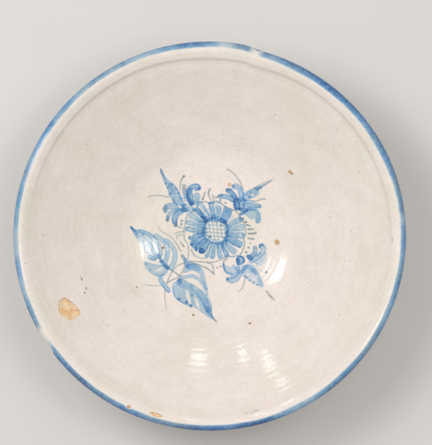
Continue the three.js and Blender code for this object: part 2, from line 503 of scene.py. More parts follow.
@dataclass(frozen=True)
class PaintedFlower:
    """The flower on the floor: a round head in a beaded ring, three blooms, two leaves and their stems.

    Each motif's places are photo pixels counted from a corner of its own, such as head_px.
    """

    heart_px: Place = (215.6, 230.4)
    head_px: Place = (180, 190)
    upper_left_px: Place = (160, 160)
    upper_right_px: Place = (210, 160)
    lower_right_px: Place = (220, 240)
    left_leaf_px: Place = (130, 220)
    stems_px: Place = (140, 250)
    lower_leaf_px: Place = (170, 260)
    petals_middle_px: float = 17.5
    disc_edge_px: float = 11.4
    seed_px: float = 3.1
    seed_column_px: Place = (3.8, 0.3)
    seed_row_px: Place = (0.5, 3.7)

    def circle(self, radius_px: float, points: int) -> list[Place]:
        """Photo pixels all round the flower's heart."""
        turns = np.linspace(0.0, FULL_TURN, points)
        return [tuple(np.array(self.heart_px) + radius_px * np.array([math.cos(turn), math.sin(turn)]))
                for turn in turns]

    def petals(self) -> list[Stroke]:
        """The petals, each a touch drawn in to the seed head, with the stronger ones laid over them."""
        pale = (
            ((19.6, 14.4), (23.6, 20.8), (29.4, 28.8), 6.2, 0.38),
            ((31.4, 14.6), (32.4, 20.6), (33.6, 27.4), 5.2, 0.46),
            ((38, 15.2), (38.2, 21), (38, 27.8), 6, 0.4), ((58.8, 29.8), (53.6, 32), (48.2, 35), 6.4, 0.4),
            ((60.6, 37.6), (55.2, 38.4), (49.2, 39.4), 6.4, 0.34),
            ((61.2, 45.4), (55.8, 44.8), (49, 43.8), 6.2, 0.4),
            ((59, 53.8), (54.4, 51.4), (48.4, 48.4), 6.6, 0.52),
            ((53.6, 61), (50.2, 57.8), (45.6, 53.6), 5.6, 0.42),
            ((46.2, 64.6), (44.4, 60.6), (41.6, 54.2), 5, 0.44),
            ((40.2, 66.2), (39.4, 61), (38.2, 54.4), 4.9, 0.4),
            ((32.4, 66.6), (32.8, 60.6), (33.4, 54), 4.6, 0.46),
            ((26.8, 65.4), (28.4, 60), (30.6, 54), 4, 0.44),
            ((17, 57.6), (20.8, 54.4), (25.6, 50.6), 4.4, 0.52),
            ((12.6, 53.4), (17.2, 50.6), (23.4, 47), 4.6, 0.46),
            ((15.2, 46.4), (19.6, 45.2), (24, 44.2), 4.6, 0.44),
            ((7.8, 39), (14.2, 40), (22.4, 41), 4.6, 0.4),
            ((8.6, 32.6), (15.4, 34.2), (23.2, 37.2), 4.8, 0.4),
            ((11.6, 25.6), (17.6, 29.4), (24, 33.6), 5.6, 0.36),
        )
        under = brush(12, 0.16, 0.16, *self.circle(self.petals_middle_px, 25))
        laid = [brush(1.15 * width, strength + 0.05, strength + 0.1, *way) for *way, width, strength in pale]
        strong = [
            patch(0.62, 0.76, (44.4, 15.8), (48, 18), (52.2, 19.6), (51, 25.2), (48, 29.8), (44, 33),
                  (39.8, 30.6), (41, 25.6), (43.2, 20.6)),
            dab(4.7, 0.97, (41.8, 30.4), (44.4, 31.8)),
            brush(4, 0.7, 0.95, (14.6, 19.6), (19.6, 24.4), (24.8, 29.8)),
            dab(4.7, 0.97, (21.8, 28), (25.6, 31)),
            brush(1.5, 0.8, 0.6, (14.4, 20.2), (18.4, 19.6), (23, 23.6), (27, 27.6)),
            patch(0.7, 0.8, (28.2, 48.8), (30.8, 53), (28.4, 58.2), (24.6, 62.8), (20.2, 63.6),
                  (18.2, 60.6), (21.4, 55.2), (24.6, 50.8)),
            dab(5.4, 0.97, (21, 60.6), (22.4, 61)), brush(4.4, 0.5, 0.66, (16.2, 51.6), (14, 56.4)),
            brush(4.6, 0.5, 0.6, (20.4, 53.4), (16.8, 59.2)),
            brush(3, 0.5, 0.66, (12.4, 50.6), (11.6, 54.6)),
            brush(3.6, 0.78, 0.6, (9.9, 47.8), (11.4, 48.2)),
            brush(2.8, 0.62, 0.85, (15.8, 57), (16.2, 59.6)), brush(2.6, 0.85, 0.6, (12, 54.8), (14.6, 54)),
            brush(2.2, 0.65, 0.4, (47.8, 49.6), (53.2, 53.4), (59.2, 56.4)),
            brush(2.4, 0.75, 0.5, (41.8, 53.6), (43.4, 60.2)),
            brush(2, 0.75, 0.5, (37.4, 53.4), (38, 58.6)),
            *dots(((27, 66.4), (32.4, 66.6), (40.4, 66.4), (46.8, 65)), 3, 0.36, 0.5),
            *dots(((59.8, 57), (63, 44.8)), 2.4, 0.5, 0.5),
            brush(1.3, 0.5, 0.45, (6.2, 40.6), (6.4, 38), (9.2, 36.8), grey=0.4),
            brush(1.8, 0.72, 0.6, (28.8, 13.4), (31.6, 12.6), (34.4, 12.6), grey=0.3),
            brush(2, 0.62, 0.5, (59.8, 28), (60.4, 30.4), grey=0.3),
        ]
        return [under, *placed(self.head_px, [*laid, *strong])]

    def seed_head(self) -> list[Stroke]:
        """The washed disc under the seeds and the dark dabs around it."""
        edge = brush(4.8, 0.26, 0.26, *self.circle(self.disc_edge_px, 15))
        disc = brush(18.6, 0.52, 0.52, (215.2, 230.8), (215.8, 231.2), grey=0.35)
        dark = (
            brush(4, 0.4, 0.34, (209.6, 217.4), (214.2, 215.4)), dab(3, 0.8, (227, 223.8), (226.8, 225)),
            dab(2.6, 0.6, (226.8, 227.6), (227.2, 230.6)), dab(3, 0.92, (226.4, 232.6), (226.2, 234.2)),
            brush(3.8, 0.8, 0.92, (225, 236.8), (226.2, 239.2)),
            brush(4.4, 0.7, 0.6, (224.6, 241.8), (224.8, 245.8)),
        )
        feathers = [brush(1.8, 0.7, 0.5, (205.6 - 0.5 * (row % 2), 222.6 + 2.7 * row),
                          (201.4, 222 + 2.9 * row), (197 + row % 2, 220.8 + 3.3 * row)) for row in range(5)]
        teeth = [brush(1.7, 0.7, 0.45, (208.8 + 3.1 * column, 220.8), (208.4 + 3.2 * column, 215.8))
                 for column in range(4)]
        return [edge, disc, *dark, *feathers, *teeth]

    def seeds(self) -> list[Stroke]:
        """The white seeds, left bare in rows, with none at the corners."""
        x, y = self.heart_px[0], self.heart_px[1] + 0.5
        across, down = self.seed_column_px, self.seed_row_px
        places = [(x + across[0] * column + down[0] * row, y + down[1] * row + across[1] * column)
                  for row in range(-2, 3) for column in range(-2, 3) if abs(row) + abs(column) < 4]
        return dots(places, self.seed_px, 0.98)

    def ring(self) -> list[Stroke]:
        """The thin line round the petals."""
        return placed(self.head_px, [
            hair(1.4, 0.54, 0.5, (16.6, 17.4), (19, 13.4), (21.6, 11.8), (25, 11.7), (29.2, 12.9),
                 (33.4, 11.5), (37.1, 11.5), (41.4, 13), (44.2, 15.8), (49.4, 18.6), (53.6, 20),
                 (56.5, 21.4), (59.8, 26.1), (63.8, 32.7), (65.4, 39.4), (65.4, 44.8), (63.6, 49.1),
                 (64.4, 52.9), (62.8, 60.2), (60.2, 64.6)),
            hair(1.3, 0.48, 0.46, (7.9, 23.6), (6.7, 27.4), (4.6, 36), (4, 43.6), (4.8, 49.7), (7.5, 53.6),
                 (8.5, 60.2), (8.2, 68.4)),
            hair(1.5, 0.46, 0.32, (11.2, 59.8), (14.5, 65), (20.6, 68.2), (26.4, 68.2)),
            brush(1.6, 0.6, 0.55, (48, 65.8), (51.8, 66.6), (58.9, 65.4), grey=0.4),
        ])

    def beads(self) -> list[Stroke]:
        """The dots and dashes outside the ring."""
        return placed(self.head_px, [
            hair(1.9, 0.62, 0.5, (68, 39.4), (72.9, 39)),
            hair(2, 0.62, 0.6, (68.6, 43.6), (73.2, 43.6), (76, 42.6)),
            hair(1.8, 0.55, 0.5, (68.4, 48.2), (74, 49.2)),
            hair(1.7, 0.3, 0.42, (-5.1, 43.8), (-0.8, 42), (4, 41.6)),
            hair(1.6, 0.4, 0.32, (-3.2, 48), (-1.4, 45.2), (2, 45)),
            hair(1.7, 0.5, 0.32, (-1.2, 37), (2.6, 38)), hair(1.7, 0.35, 0.6, (0.4, 52), (3.8, 56.4)),
            hair(1.7, 0.5, 0.4, (24.9, 2.4), (23.1, 8.8)),
            hair(1.8, 0.62, 0.4, (29.9, -1.2), (28.5, 3.6), (30.5, 9.8)),
            hair(1.6, 0.5, 0.32, (32.7, 5), (33.8, 10.2)),
            *dots(((63.2, 28.6), (65.8, 32)), 2.3, 0.75, 0.7), hair(1.9, 0.7, 0.32, (67, 35), (70.4, 35.8)),
            *dots(((70.2, 53.2),), 2, 0.36, 0.8), *dots(((68.6, 57.6), (66, 62.2)), 2.2, 0.66, 0.8),
            *dots(((36.2, 7.4), (40.3, 10), (45.6, 12.8), (22.6, 8.8)), 2.1, 0.6, 0.6),
            *dots(((1.9, 30.8), (1.3, 34.2)), 2.2, 0.7, 0.75),
        ])

    def upper_left_bloom(self) -> list[Stroke]:
        """The bloom with the tall spire, left above the head."""
        return placed(self.upper_left_px, [
            patch(0.5, 0.56, (0.7, 8.6), (2.6, 10.8), (4.8, 15.4), (8.9, 20.3), (13.8, 24), (17.2, 28.6),
                  (19.9, 33), (22.4, 37.9), (24, 43.2), (25.4, 47.6), (18.6, 46.4), (14, 43.2),
                  (11.6, 39.4), (9, 35.7), (7.2, 28.6), (4.4, 23.2), (1.4, 15.2), (0, 10.6)),
            brush(2, 0.55, 0.36, (0.9, 9.4), (2, 13), (4, 17.8), (6.4, 22), grey=0.8),
            brush(3.4, 0.46, 0.3, (9.4, 24.6), (12.2, 30.4), (14.6, 36.4)),
            *dots(((11.8, 24.3), (15.8, 28.8), (18.6, 33.2), (20.6, 38.2)), 2.9, 0.56),
            *dots(((5.8, 23.4), (7.6, 27.4), (13.4, 39.8), (14.2, 42)), 2.5, 0.66, 0.2),
            *dots(((10, 33.8),), 2.6, 0.6, 0.6),
            brush(6, 0.5, 0.42, (21.4, 47.6), (15.4, 46.6), (10.4, 46), (6.6, 47)),
            brush(3.6, 0.5, 0.8, (6.2, 47), (4.6, 48.8), (5.4, 51.2), grey=0.5),
            brush(3.8, 0.5, 0.46, (19, 49.4), (13.2, 51.2), (9.6, 53.6), (8, 56.6)),
            brush(3.2, 0.5, 0.85, (8, 56.8), (7.4, 60), grey=0.7),
            brush(6, 0.62, 0.58, (22.6, 50.2), (17.8, 53), (15, 56.8), (14.6, 61)),
            brush(3.9, 0.46, 0.85, (14.6, 61.6), (15.8, 65), grey=0.5),
            brush(3.8, 0.97, 0.95, (22.4, 49.6), (26.2, 50.2)),
            brush(5.4, 0.55, 0.46, (25, 46), (30, 47.6), (30.6, 50.4)),
            brush(3.8, 0.46, 0.3, (24, 26), (24.2, 30), (24.8, 33.6), grey=0.8),
            brush(4.6, 0.34, 0.55, (24.6, 30.4), (25.4, 34.4), (26.2, 39.6)),
            patch(0.94, 0.62, (30.6, 45.4), (26.6, 40.4), (25.8, 36.4), (27, 32), (29.2, 28), (32.6, 28.6),
                  (32.4, 33.4), (33.6, 39), (34, 43.6)),
            brush(3.2, 0.95, 0.97, (27.6, 35.6), (29.2, 40.6), (31.6, 43.6)),
            brush(5.2, 0.62, 0.66, (28.8, 31.8), (30.2, 28.4), (33.6, 26.4), (37, 26.2), (38.6, 27.8)),
            brush(2.2, 0.6, 0.7, (35.6, 30.2), (38.2, 29.4), (39.2, 27.2), grey=0.4),
            brush(4.4, 0.55, 0.42, (33.4, 43.4), (36.2, 41), (38, 37.4), (37.6, 35), (34.8, 35.8)),
            hair(1.4, 0.34, 0.4, (-11.4, 36.7), (-7.4, 35.6), (-1.6, 35.5), (3.8, 36.2), (8.6, 37.4)),
            hair(1.5, 0.55, 0.32, (24.1, 15.9), (21.4, 19.6), (20.3, 25), (19.8, 30.4)),
            *dots(((23.8, 16.2),), 2.1, 0.66, 0.8),
        ])

    def upper_right_bloom(self) -> list[Stroke]:
        """The bloom with the long slanting spire, right above the head."""
        return placed(self.upper_right_px, [
            hair(1.6, 0.42, 0.36, (17.5, 9.2), (20.2, 10.3), (24.2, 13.8), (27.8, 18.3), (30.9, 23.2),
                 (32.7, 29.8)),
            brush(3.3, 0.26, 0.5, (65, 17.6), (58.4, 21.4), (52, 25), (46, 28.4), grey=0.55,
                  touch=Touch.SWELLING),
            brush(1.4, 0.4, 0.62, (62, 20.4), (55.4, 24.6), (49, 28.2), grey=0.5),
            dab(1.3, 0.5, (36.6, 32), (42.6, 29), (48, 26.4), grey=0.4),
            patch(0.48, 0.52, (35.4, 32.4), (40.4, 30.4), (45.2, 28.2), (51.4, 26.4), (52, 28.6),
                  (48.2, 30.6), (49.4, 33.2), (44.3, 37.3), (38, 39.6), (33.6, 40.6), (32.2, 36),
                  (32.8, 32.8)),
            *dots(((40.4, 32.4), (39.6, 36.8), (35.6, 40.6), (47.6, 29.8)), 2.9, 0.6),
            *dots(((34.6, 35), (37.4, 34.6)), 3, 0.4),
            hair(1.4, 0.5, 0.4, (55.4, 39.3), (52.8, 38.8), (47.9, 40.6), (44.3, 41.5)),
            brush(5.4, 0.46, 0.6, (24.2, 26.3), (26.8, 26.2), (30.2, 29.8), (31.4, 34.4), (31.4, 39)),
            *dots(((23.2, 26.2),), 3, 0.6, 0.4),
            brush(4.8, 0.66, 0.8, (18, 30.4), (20.4, 31.4), (24, 35.4), (26.8, 39.8)),
            brush(3, 0.85, 0.6, (17.4, 29.6), (20.2, 29.8), grey=0.5),
            brush(5, 0.48, 0.7, (11, 36.2), (15.2, 36.4), (19.6, 37.8), (23.6, 40.2)),
            brush(3, 0.85, 0.5, (8.9, 36.2), (12, 35.6), grey=0.6),
            brush(6, 0.9, 0.97, (26.2, 40.8), (26.6, 44.8), (27.4, 47.2)),
            brush(2, 0.8, 0.9, (24.8, 41.6), (24.4, 45.6), (25.8, 48.8), (28.6, 48.8)),
            brush(5.4, 0.62, 0.66, (32.8, 39.6), (31.8, 43.6), (31.8, 47.4)),
            brush(3.4, 0.5, 0.42, (36, 42.2), (39.8, 41.4), (42.9, 41.7)),
            brush(4.2, 0.6, 0.52, (34.6, 45.4), (40.7, 45.3), (46.1, 45.5), (49.4, 46.4)),
            *dots(((48.8, 46.6),), 3.2, 0.4, 0.6),
            patch(0.42, 0.44, (31, 54), (34, 50), (40, 48.2), (46.6, 49.6), (50.2, 54.2), (51, 59.2),
                  (48.8, 63.2), (45.2, 62), (45, 57.8), (42, 59.6), (38.8, 57.8), (35.4, 55.2)),
            brush(3.8, 0.8, 0.56, (30.9, 49.8), (36.3, 49.8), (40.7, 48.8), (45.4, 48.8)),
            brush(4, 0.36, 0.46, (47, 51.4), (48.8, 56), (47.6, 61.4)),
            brush(2.6, 0.92, 0.8, (30.6, 54.2), (34, 52.6), (37.1, 50.4)),
        ])

    def lower_right_bloom(self) -> list[Stroke]:
        """The bloom that hangs right below the head, with a speckled spire."""
        return placed(self.lower_right_px, [
            dab(8.4, 0.7, (20.3, 19.8), (20.4, 20.8)), dab(3.8, 0.96, (17.8, 19.6), (18.4, 23)),
            dab(1.6, 0.75, (20.6, 16.4), (23.6, 17.8), (24.2, 21.2)),
            dab(4.4, 0.5, (18.2, 26.8), (17.8, 29)),
            patch(0.44, 0.4, (3.7, 24.5), (8.6, 26.8), (13.4, 26.6), (17.2, 26.8), (18, 31.6), (11.2, 35.4),
                  (6.2, 33.4), (3.9, 30.4)),
            brush(1.8, 0.75, 0.6, (3.6, 24.2), (4.4, 29.4), (7.6, 32.6), (11.8, 33.6)),
            brush(1.6, 0.55, 0.45, (13.2, 25.2), (15.6, 29.6)),
            brush(5, 0.48, 0.46, (8.4, 39.6), (11.4, 41), (15.8, 39.4), (18.9, 36.1), (20.2, 32.4)),
            dab(3.4, 0.5, (12, 37), (16.6, 35), (19.4, 31)), *dots(((7.4, 39),), 3, 0.85, 0.6),
            brush(4.8, 0.8, 0.4, (29.8, 17.6), (33.6, 14.6), (35.4, 10.8), (34.9, 8), grey=0.15),
            *dots(((34.8, 7.6),), 3.6, 0.34, 0.8), brush(3.8, 0.97, 0.8, (28.2, 16.4), (31.4, 19)),
            brush(5.6, 0.42, 0.4, (31.4, 21), (37.6, 17.4), (42, 13), (43.4, 8.8), (41.6, 5.8)),
            dab(1.8, 0.6, (37.4, 15.8), (40.4, 12.4)),
            brush(2, 0.85, 0.75, (42.8, 5), (39.9, 5.6), (39.6, 7.8), grey=0.3),
            brush(4.6, 0.34, 0.26, (36.4, 21.6), (41.6, 18.6), (44.4, 14.6)),
            brush(3.2, 0.28, 0.2, (36.6, 25), (41.5, 23.2), (45.2, 20)),
            patch(0.34, 0.24, (23.2, 25.7), (29, 24.3), (33.4, 25.5), (36, 29), (37.4, 33.2), (40.2, 37),
                  (42.2, 41.8), (43.6, 46.4), (41.5, 47.9), (37.3, 45.6), (33.2, 43.5), (29, 40.8),
                  (24.9, 37.3), (21.6, 33.2), (21.4, 29)),
            brush(4.6, 0.44, 0.3, (23.6, 28.4), (27.2, 27), (32.2, 27.8)),
            brush(2.6, 0.6, 0.5, (22.8, 32), (24.8, 28), (27.6, 25.6)),
            brush(3.6, 0.5, 0.4, (30.8, 29), (35.2, 32.4)),
            brush(4, 0.34, 0.42, (35, 30), (38.6, 37.2), (41.4, 44.6)),
            *dots(((24.6, 36), (26.6, 37.4), (29.8, 40.2), (33.6, 42.6), (37.4, 44.8)), 2.3, 0.6, 0.5),
            brush(2.3, 0.5, 0.42, (46, 50.2), (49.8, 55.6), (54.9, 60.7), grey=0.9, touch=Touch.LEAF),
            hair(1.5, 0.4, 0.32, (24.9, 37.6), (24, 43.1), (22.4, 48.1), (18.7, 51.6)),
            hair(1, 0.3, 0.32, (37.8, 29), (40.4, 30.4), (43.4, 31.4)),
            *dots(((46, 32.1),), 2.4, 0.72, 0.8), *dots(((44.6, 29.6),), 1.4, 0.5, 0.8),
        ])

    def left_leaf(self) -> list[Stroke]:
        """The leaf at the left: bands that curve round a dark midrib."""
        return placed(self.left_leaf_px, [
            patch(0.8, 0.44, (0.6, 6.9), (4.5, 9), (10, 11), (14, 14), (12, 18.5), (9.5, 21.4), (6.5, 18),
                  (3.5, 13)),
            *(brush(1.1, 0.46, 0.34, (11.4 + 1.9 * line, 13 - 0.2 * line), (17.6 + 1.9 * line, 21 - line),
                    (22.2 + 1.9 * line, 30.4 - 1.6 * line), (25.2 + line, 36.4 - line))
              for line in range(3)),
            brush(2.4, 0.85, 0.7, (1.6, 7.8), (4.6, 11), (6.8, 14)),
            brush(1.8, 0.6, 0.45, (1, 6.9), (2.6, 8.8), grey=0.8),
            brush(9, 0.26, 0.34, (14.4, 21.6), (19.4, 28.6), (23.4, 36)),
            brush(4, 0.38, 0.46, (11, 10.9), (18.2, 14.2), (23.6, 18.2), (28, 23.6), (30.6, 29.5),
                  (30.8, 34.6)),
            brush(1.3, 0.42, 0.4, (8.8, 9.6), (18.8, 12.7), (26, 17.8)),
            brush(4.9, 0.4, 0.46, (25.4, 15.9), (31.6, 19.4), (36, 24.6), (37.4, 31.6), (36.6, 38),
                  (34.8, 42.4)),
            brush(4.9, 0.38, 0.42, (36.2, 20.6), (42, 26), (45, 32.8), (44.4, 40.6), (41, 47.8)),
            brush(4.6, 0.46, 0.42, (19.8, 37.4), (24.4, 38.8)),
            patch(0.44, 0.48, (14, 41.2), (20, 43.2), (26.8, 44.6), (32.4, 45.4), (38.2, 50), (35.2, 54.6),
                  (29.9, 56.6), (24.4, 55.4), (19, 51.6), (15.2, 46.6)),
            dab(3.6, 0.8, (28.2, 35.4), (29.2, 37.4)), dab(3.8, 0.85, (31.2, 41.4), (32.8, 43.8)),
            dab(4, 0.95, (35.6, 45.8), (37.4, 47.6)), dab(2.4, 0.6, (28.7, 36.4), (36.4, 46.6)),
            *dots(((16, 44), (20.4, 50), (26.4, 54.6), (33, 54.6)), 2.4, 0.46, 0.3),
            hair(1.4, 0.3, 0.42, (29.2, 8.6), (33.2, 12.4), (40.2, 16.6), (45.8, 22.9), (51, 31.6)),
        ])

    def stems(self) -> list[Stroke]:
        """The thin stems that cross below the head, with the small leaf at their end."""
        return placed(self.stems_px, [
            brush(3.2, 0.62, 0.5, (42.3, 5.8), (45.6, 10.6), grey=0.4),
            dab(4.4, 0.5, (45.6, 10.6), (47.8, 15.4)),
            hair(1.4, 0.46, 0.42, (49, 11.2), (60.9, 11.8), (71.7, 12.4), (80.4, 9.8), (88.4, 6)),
            hair(1.6, 0.42, 0.6, (49, 12.3), (58.6, 14.8), (67.2, 18.6), (74.2, 24)),
            hair(1.5, 0.4, 0.4, (67.4, 12.8), (72.4, 15), (73.6, 22)),
            hair(1.6, 0.5, 0.55, (86.9, 9), (83.6, 11.4), (83.6, 15)),
            *dots(((77.4, 17.4), (81, 16.2)), 2.4, 0.38, 0.95),
            hair(1.5, 0.5, 0.42, (44.6, 12.8), (37.4, 15.8), (33, 20.6), (28.8, 28.2), (27, 33.4)),
            hair(1.6, 0.5, 0.46, (28.5, 18.4), (34.1, 21.9), (41.1, 26.8)),
            hair(1.5, 0.42, 0.46, (27, 33), (32.2, 30), (38.8, 26.6), (43, 20.8), (44.8, 14.8)),
            brush(4.6, 0.46, 0.5, (20.2, 27), (21.2, 30.8), (24.4, 35.6), (28.4, 40.2)),
            dab(1.4, 0.5, (22.8, 34.2), (26, 40.6), (29.2, 42.4)),
            hair(1.15, 0.36, 0.36, (5.4, 34.8), (12.4, 35.6), (20.8, 35.4)),
            hair(1.15, 0.42, 0.3, (24.8, 40.4), (25, 48.8), (26.4, 59.4)),
        ])

    def lower_leaf(self) -> list[Stroke]:
        """The large leaf that hangs below the head, with two bands over its back."""
        return placed(self.lower_leaf_px, [
            patch(0.46, 0.4, (15.2, 3), (20.4, 2.4), (26.6, 4), (32, 8.6), (34.8, 15.6), (36.4, 24),
                  (38.4, 34.6), (36.6, 34.8), (33.8, 26.6), (31.2, 18.6), (27.8, 13), (21.6, 10.8),
                  (14.2, 13), (14.6, 8)),
            brush(5.4, 0.5, 0.4, (18.4, 6.6), (23.6, 6.4), (27.6, 9)),
            brush(3.9, 0.42, 0.38, (11.4, 17.4), (16.8, 16.8), (22.4, 16.2), (28, 18.6), (32.2, 22.6),
                  (36, 28.8)),
            patch(0.4, 0.46, (10.4, 19.4), (18.2, 23), (25.2, 26), (30.8, 29.5), (36.4, 34.4), (40.2, 40.7),
                  (42.2, 47), (42, 52.6), (43.8, 59.2), (39.2, 57.7), (32.2, 52.8), (25.2, 47.9),
                  (21.2, 46.6), (14.6, 43.7), (8.3, 40.7), (3.6, 35), (2.2, 28.4), (3.6, 23)),
            brush(6, 0.14, 0.5, (29.6, 32.6), (34.6, 40.4), (38.6, 49.8)),
            brush(4.6, 0.44, 0.2, (8.6, 23), (14, 26), (21.6, 29.4)),
            brush(1.5, 0.5, 0.44, (11.6, 19), (18.4, 22.8), (24.6, 26.2)),
            brush(1.4, 0.46, 0.5, (3, 27), (4.4, 35), (9, 40.6), (15.4, 44), (21.6, 46.8)),
            brush(1.8, 0.4, 0.5, (20, 26), (26.4, 33.6), (32.4, 42), (37.8, 51.8)),
            brush(4.6, 0.6, 0.85, (36.6, 48.6), (39.6, 53), (43.4, 58.6), touch=Touch.THINNING),
            brush(1.3, 0.8, 0.6, (42.4, 57.6), (45, 60.2), (46.8, 62), grey=0.8),
            brush(4, 0.97, 0.75, (9.4, 20.4), (10.4, 22), grey=0.3),
            *dots(((20.8, 45.6), (8.9, 39.2), (16.8, 42.2)), 3.2, 0.8, 0.4),
            *dots(((21.9, 35.2),), 2.8, 0.7, 0.5),
        ])

    def bare_gaps(self) -> list[Stroke]:
        """Slits and specks inside the blooms and leaves where the white glaze shows."""
        leaves = (
            (3.4, 0.97, 0.97, (7.2, 99.6), (7.8, 106), (10.6, 114.4)),
            (2.7, 0.9, 0.9, (14.6, 107), (17, 112.6), (19, 119.6)),
        )
        slits = (
            (1.3, 0.8, 0.8, (-30.2, 70.6), (-23.8, 72.4), (-18.4, 74.2)),
            (2, 0.9, 0.7, (-23.2, 81), (-17.2, 78.2)), (1.9, 0.8, 0.8, (-1.2, 15.4), (0.6, 17.4)),
            (1.5, 0.8, 0.7, (5.6, 9), (7.6, 14.4), (9.4, 17)),
            (1.2, 0.75, 0.6, (19.2, 16.6), (24.6, 23.6), (28.6, 27)),
            (1.2, 0.8, 0.5, (26.2, 14.8), (29.2, 21), (30.8, 26.6)),
            (1.1, 0.8, 0.5, (34.4, 14.4), (35.2, 20.2), (35.8, 26.4)),
            (1.4, 0.9, 0.5, (35.6, 13.6), (40.8, 15), (42.4, 19), (40.4, 26.4)),
            (1.3, 0.9, 0.7, (58.2, 26.6), (52.6, 29), (47.4, 33.4)),
            (1.2, 0.9, 0.5, (60.8, 33.6), (55.4, 35.2), (49.8, 37.2)),
            (1.3, 0.9, 0.5, (62, 41.6), (55.6, 41.8), (49.6, 41.6)),
            (1.1, 0.7, 0.4, (61.6, 50.6), (55.2, 48.4), (49.6, 46.2)),
            (1.4, 0.9, 0.6, (57.4, 59.4), (52.6, 56), (48.4, 52.6)),
            (1.2, 0.9, 0.6, (50.8, 64), (47.2, 59), (44, 54.8)),
            (1.2, 0.9, 0.5, (43.6, 66.6), (41.8, 60.4), (39.8, 55)),
            (1.2, 0.9, 0.5, (36.2, 66.8), (36, 60.6), (35.8, 54.6)),
            (1.1, 0.8, 0.5, (29.4, 66.2), (30.8, 60.4), (32.2, 54.8)),
            (1.2, 0.8, 0.6, (23.6, 64.6), (27.2, 60.6), (30.6, 54)),
            (1.1, 0.8, 0.5, (18, 60.8), (18.4, 58.6)),
            (1.1, 0.75, 0.4, (10, 36), (16.4, 37.4), (22.6, 39.2)),
            (1.2, 0.8, 0.4, (8.8, 28.8), (15.8, 31.8), (23.2, 35.4)),
            (1.3, 0.9, 0.6, (14.4, 22.6), (19.2, 27), (23, 30.8)),
            (2, 0.8, 0.8, (79.4, 59.4), (78.2, 62.2)),
        )
        spire = ((250.3, 275.4), (252.9, 278.2), (247.6, 274.6), (255.4, 280), (256.6, 276.4))
        strokes = [*(brush(*leaf, touch=Touch.LEAF) for leaf in leaves), *(brush(*slit) for slit in slits)]
        return [*placed(self.head_px, strokes), *dots(((252.6, 195),), 2.4, 0.9), *dots(spire, 2.1, 0.75),
                *dots(((176.4, 195.4), (177.4, 198.4), (174, 195.6)), 1.9, 0.5)]

    def washes(self) -> list[Stroke]:
        """Every touch that leaves blue, in the order of painting."""
        return [*self.petals(), *self.seed_head(), *self.ring(), *self.beads(), *self.upper_left_bloom(),
                *self.upper_right_bloom(), *self.lower_right_bloom(), *self.left_leaf(), *self.stems(),
                *self.lower_leaf()]

    def bare(self) -> list[Stroke]:
        """Every touch that stays white."""
        return [*self.seeds(), *self.bare_gaps()]


# Marks in the glaze


@dataclass(frozen=True)
class GlazeMarks:
    """Small faults of the glaze, at the pixels of the photograph where they show."""

    def rust(self) -> list[Stroke]:
        """Iron spots that bled through the white, and the faint stain round the scar."""
        return [
            dab(2.3, 0.75, (289.4, 171.2), (292.4, 173.7)), dab(3.4, 0.45, (229.5, 184), (229.4, 185)),
            dab(4.8, 0.62, (276.8, 241.8), (277.2, 242.8)), dab(2.6, 0.9, (162.4, 247.8), (163.4, 247.7)),
            *dots(((193.3, 315.1), (249.8, 323.4)), 2.5, 0.9, 0.3), *dots(((129.2, 405.4),), 1.6, 0.4),
            dab(5, 0.13, (64, 297.8), (59.6, 302.4), (58.8, 309), (61.6, 315.8), (68.4, 320.6), (74, 318.4)),
        ]

    def pits(self) -> list[Stroke]:
        """Pinholes where gas left the glaze, grey with dirt."""
        fine = (
            (86.8, 144.5), (341, 144), (334, 148), (338, 129), (276.5, 113), (252, 143.5),
            (223.4, 138.4), (239, 149.7), (329.7, 217), (359.3, 172.8), (350.6, 231.2), (349.1, 260.5),
            (307.8, 283.2), (391.4, 240.4), (338.9, 314.3), (43.8, 235.2), (26, 263.2), (103.3, 321.9),
            (107.3, 325), (189.2, 389.1), (190.3, 176.5), (247.5, 414), (252, 413), (256, 411.4),
        )
        deep = ((82.1, 279.3), (86.5, 288.9), (84.9, 292.4), (136.8, 287.1))
        return [*dots(fine, 1.3, 0.55), *dots(deep, 1.7, 0.85)]


@dataclass(frozen=True)
class WearAndShade:
    """A stretch of the painted edge that is paler or darker than the rest. The darker stretches along the
    bottom, near 268 and 284 degrees, are painted shade.
    """

    direction: float
    spread: float
    paler: float


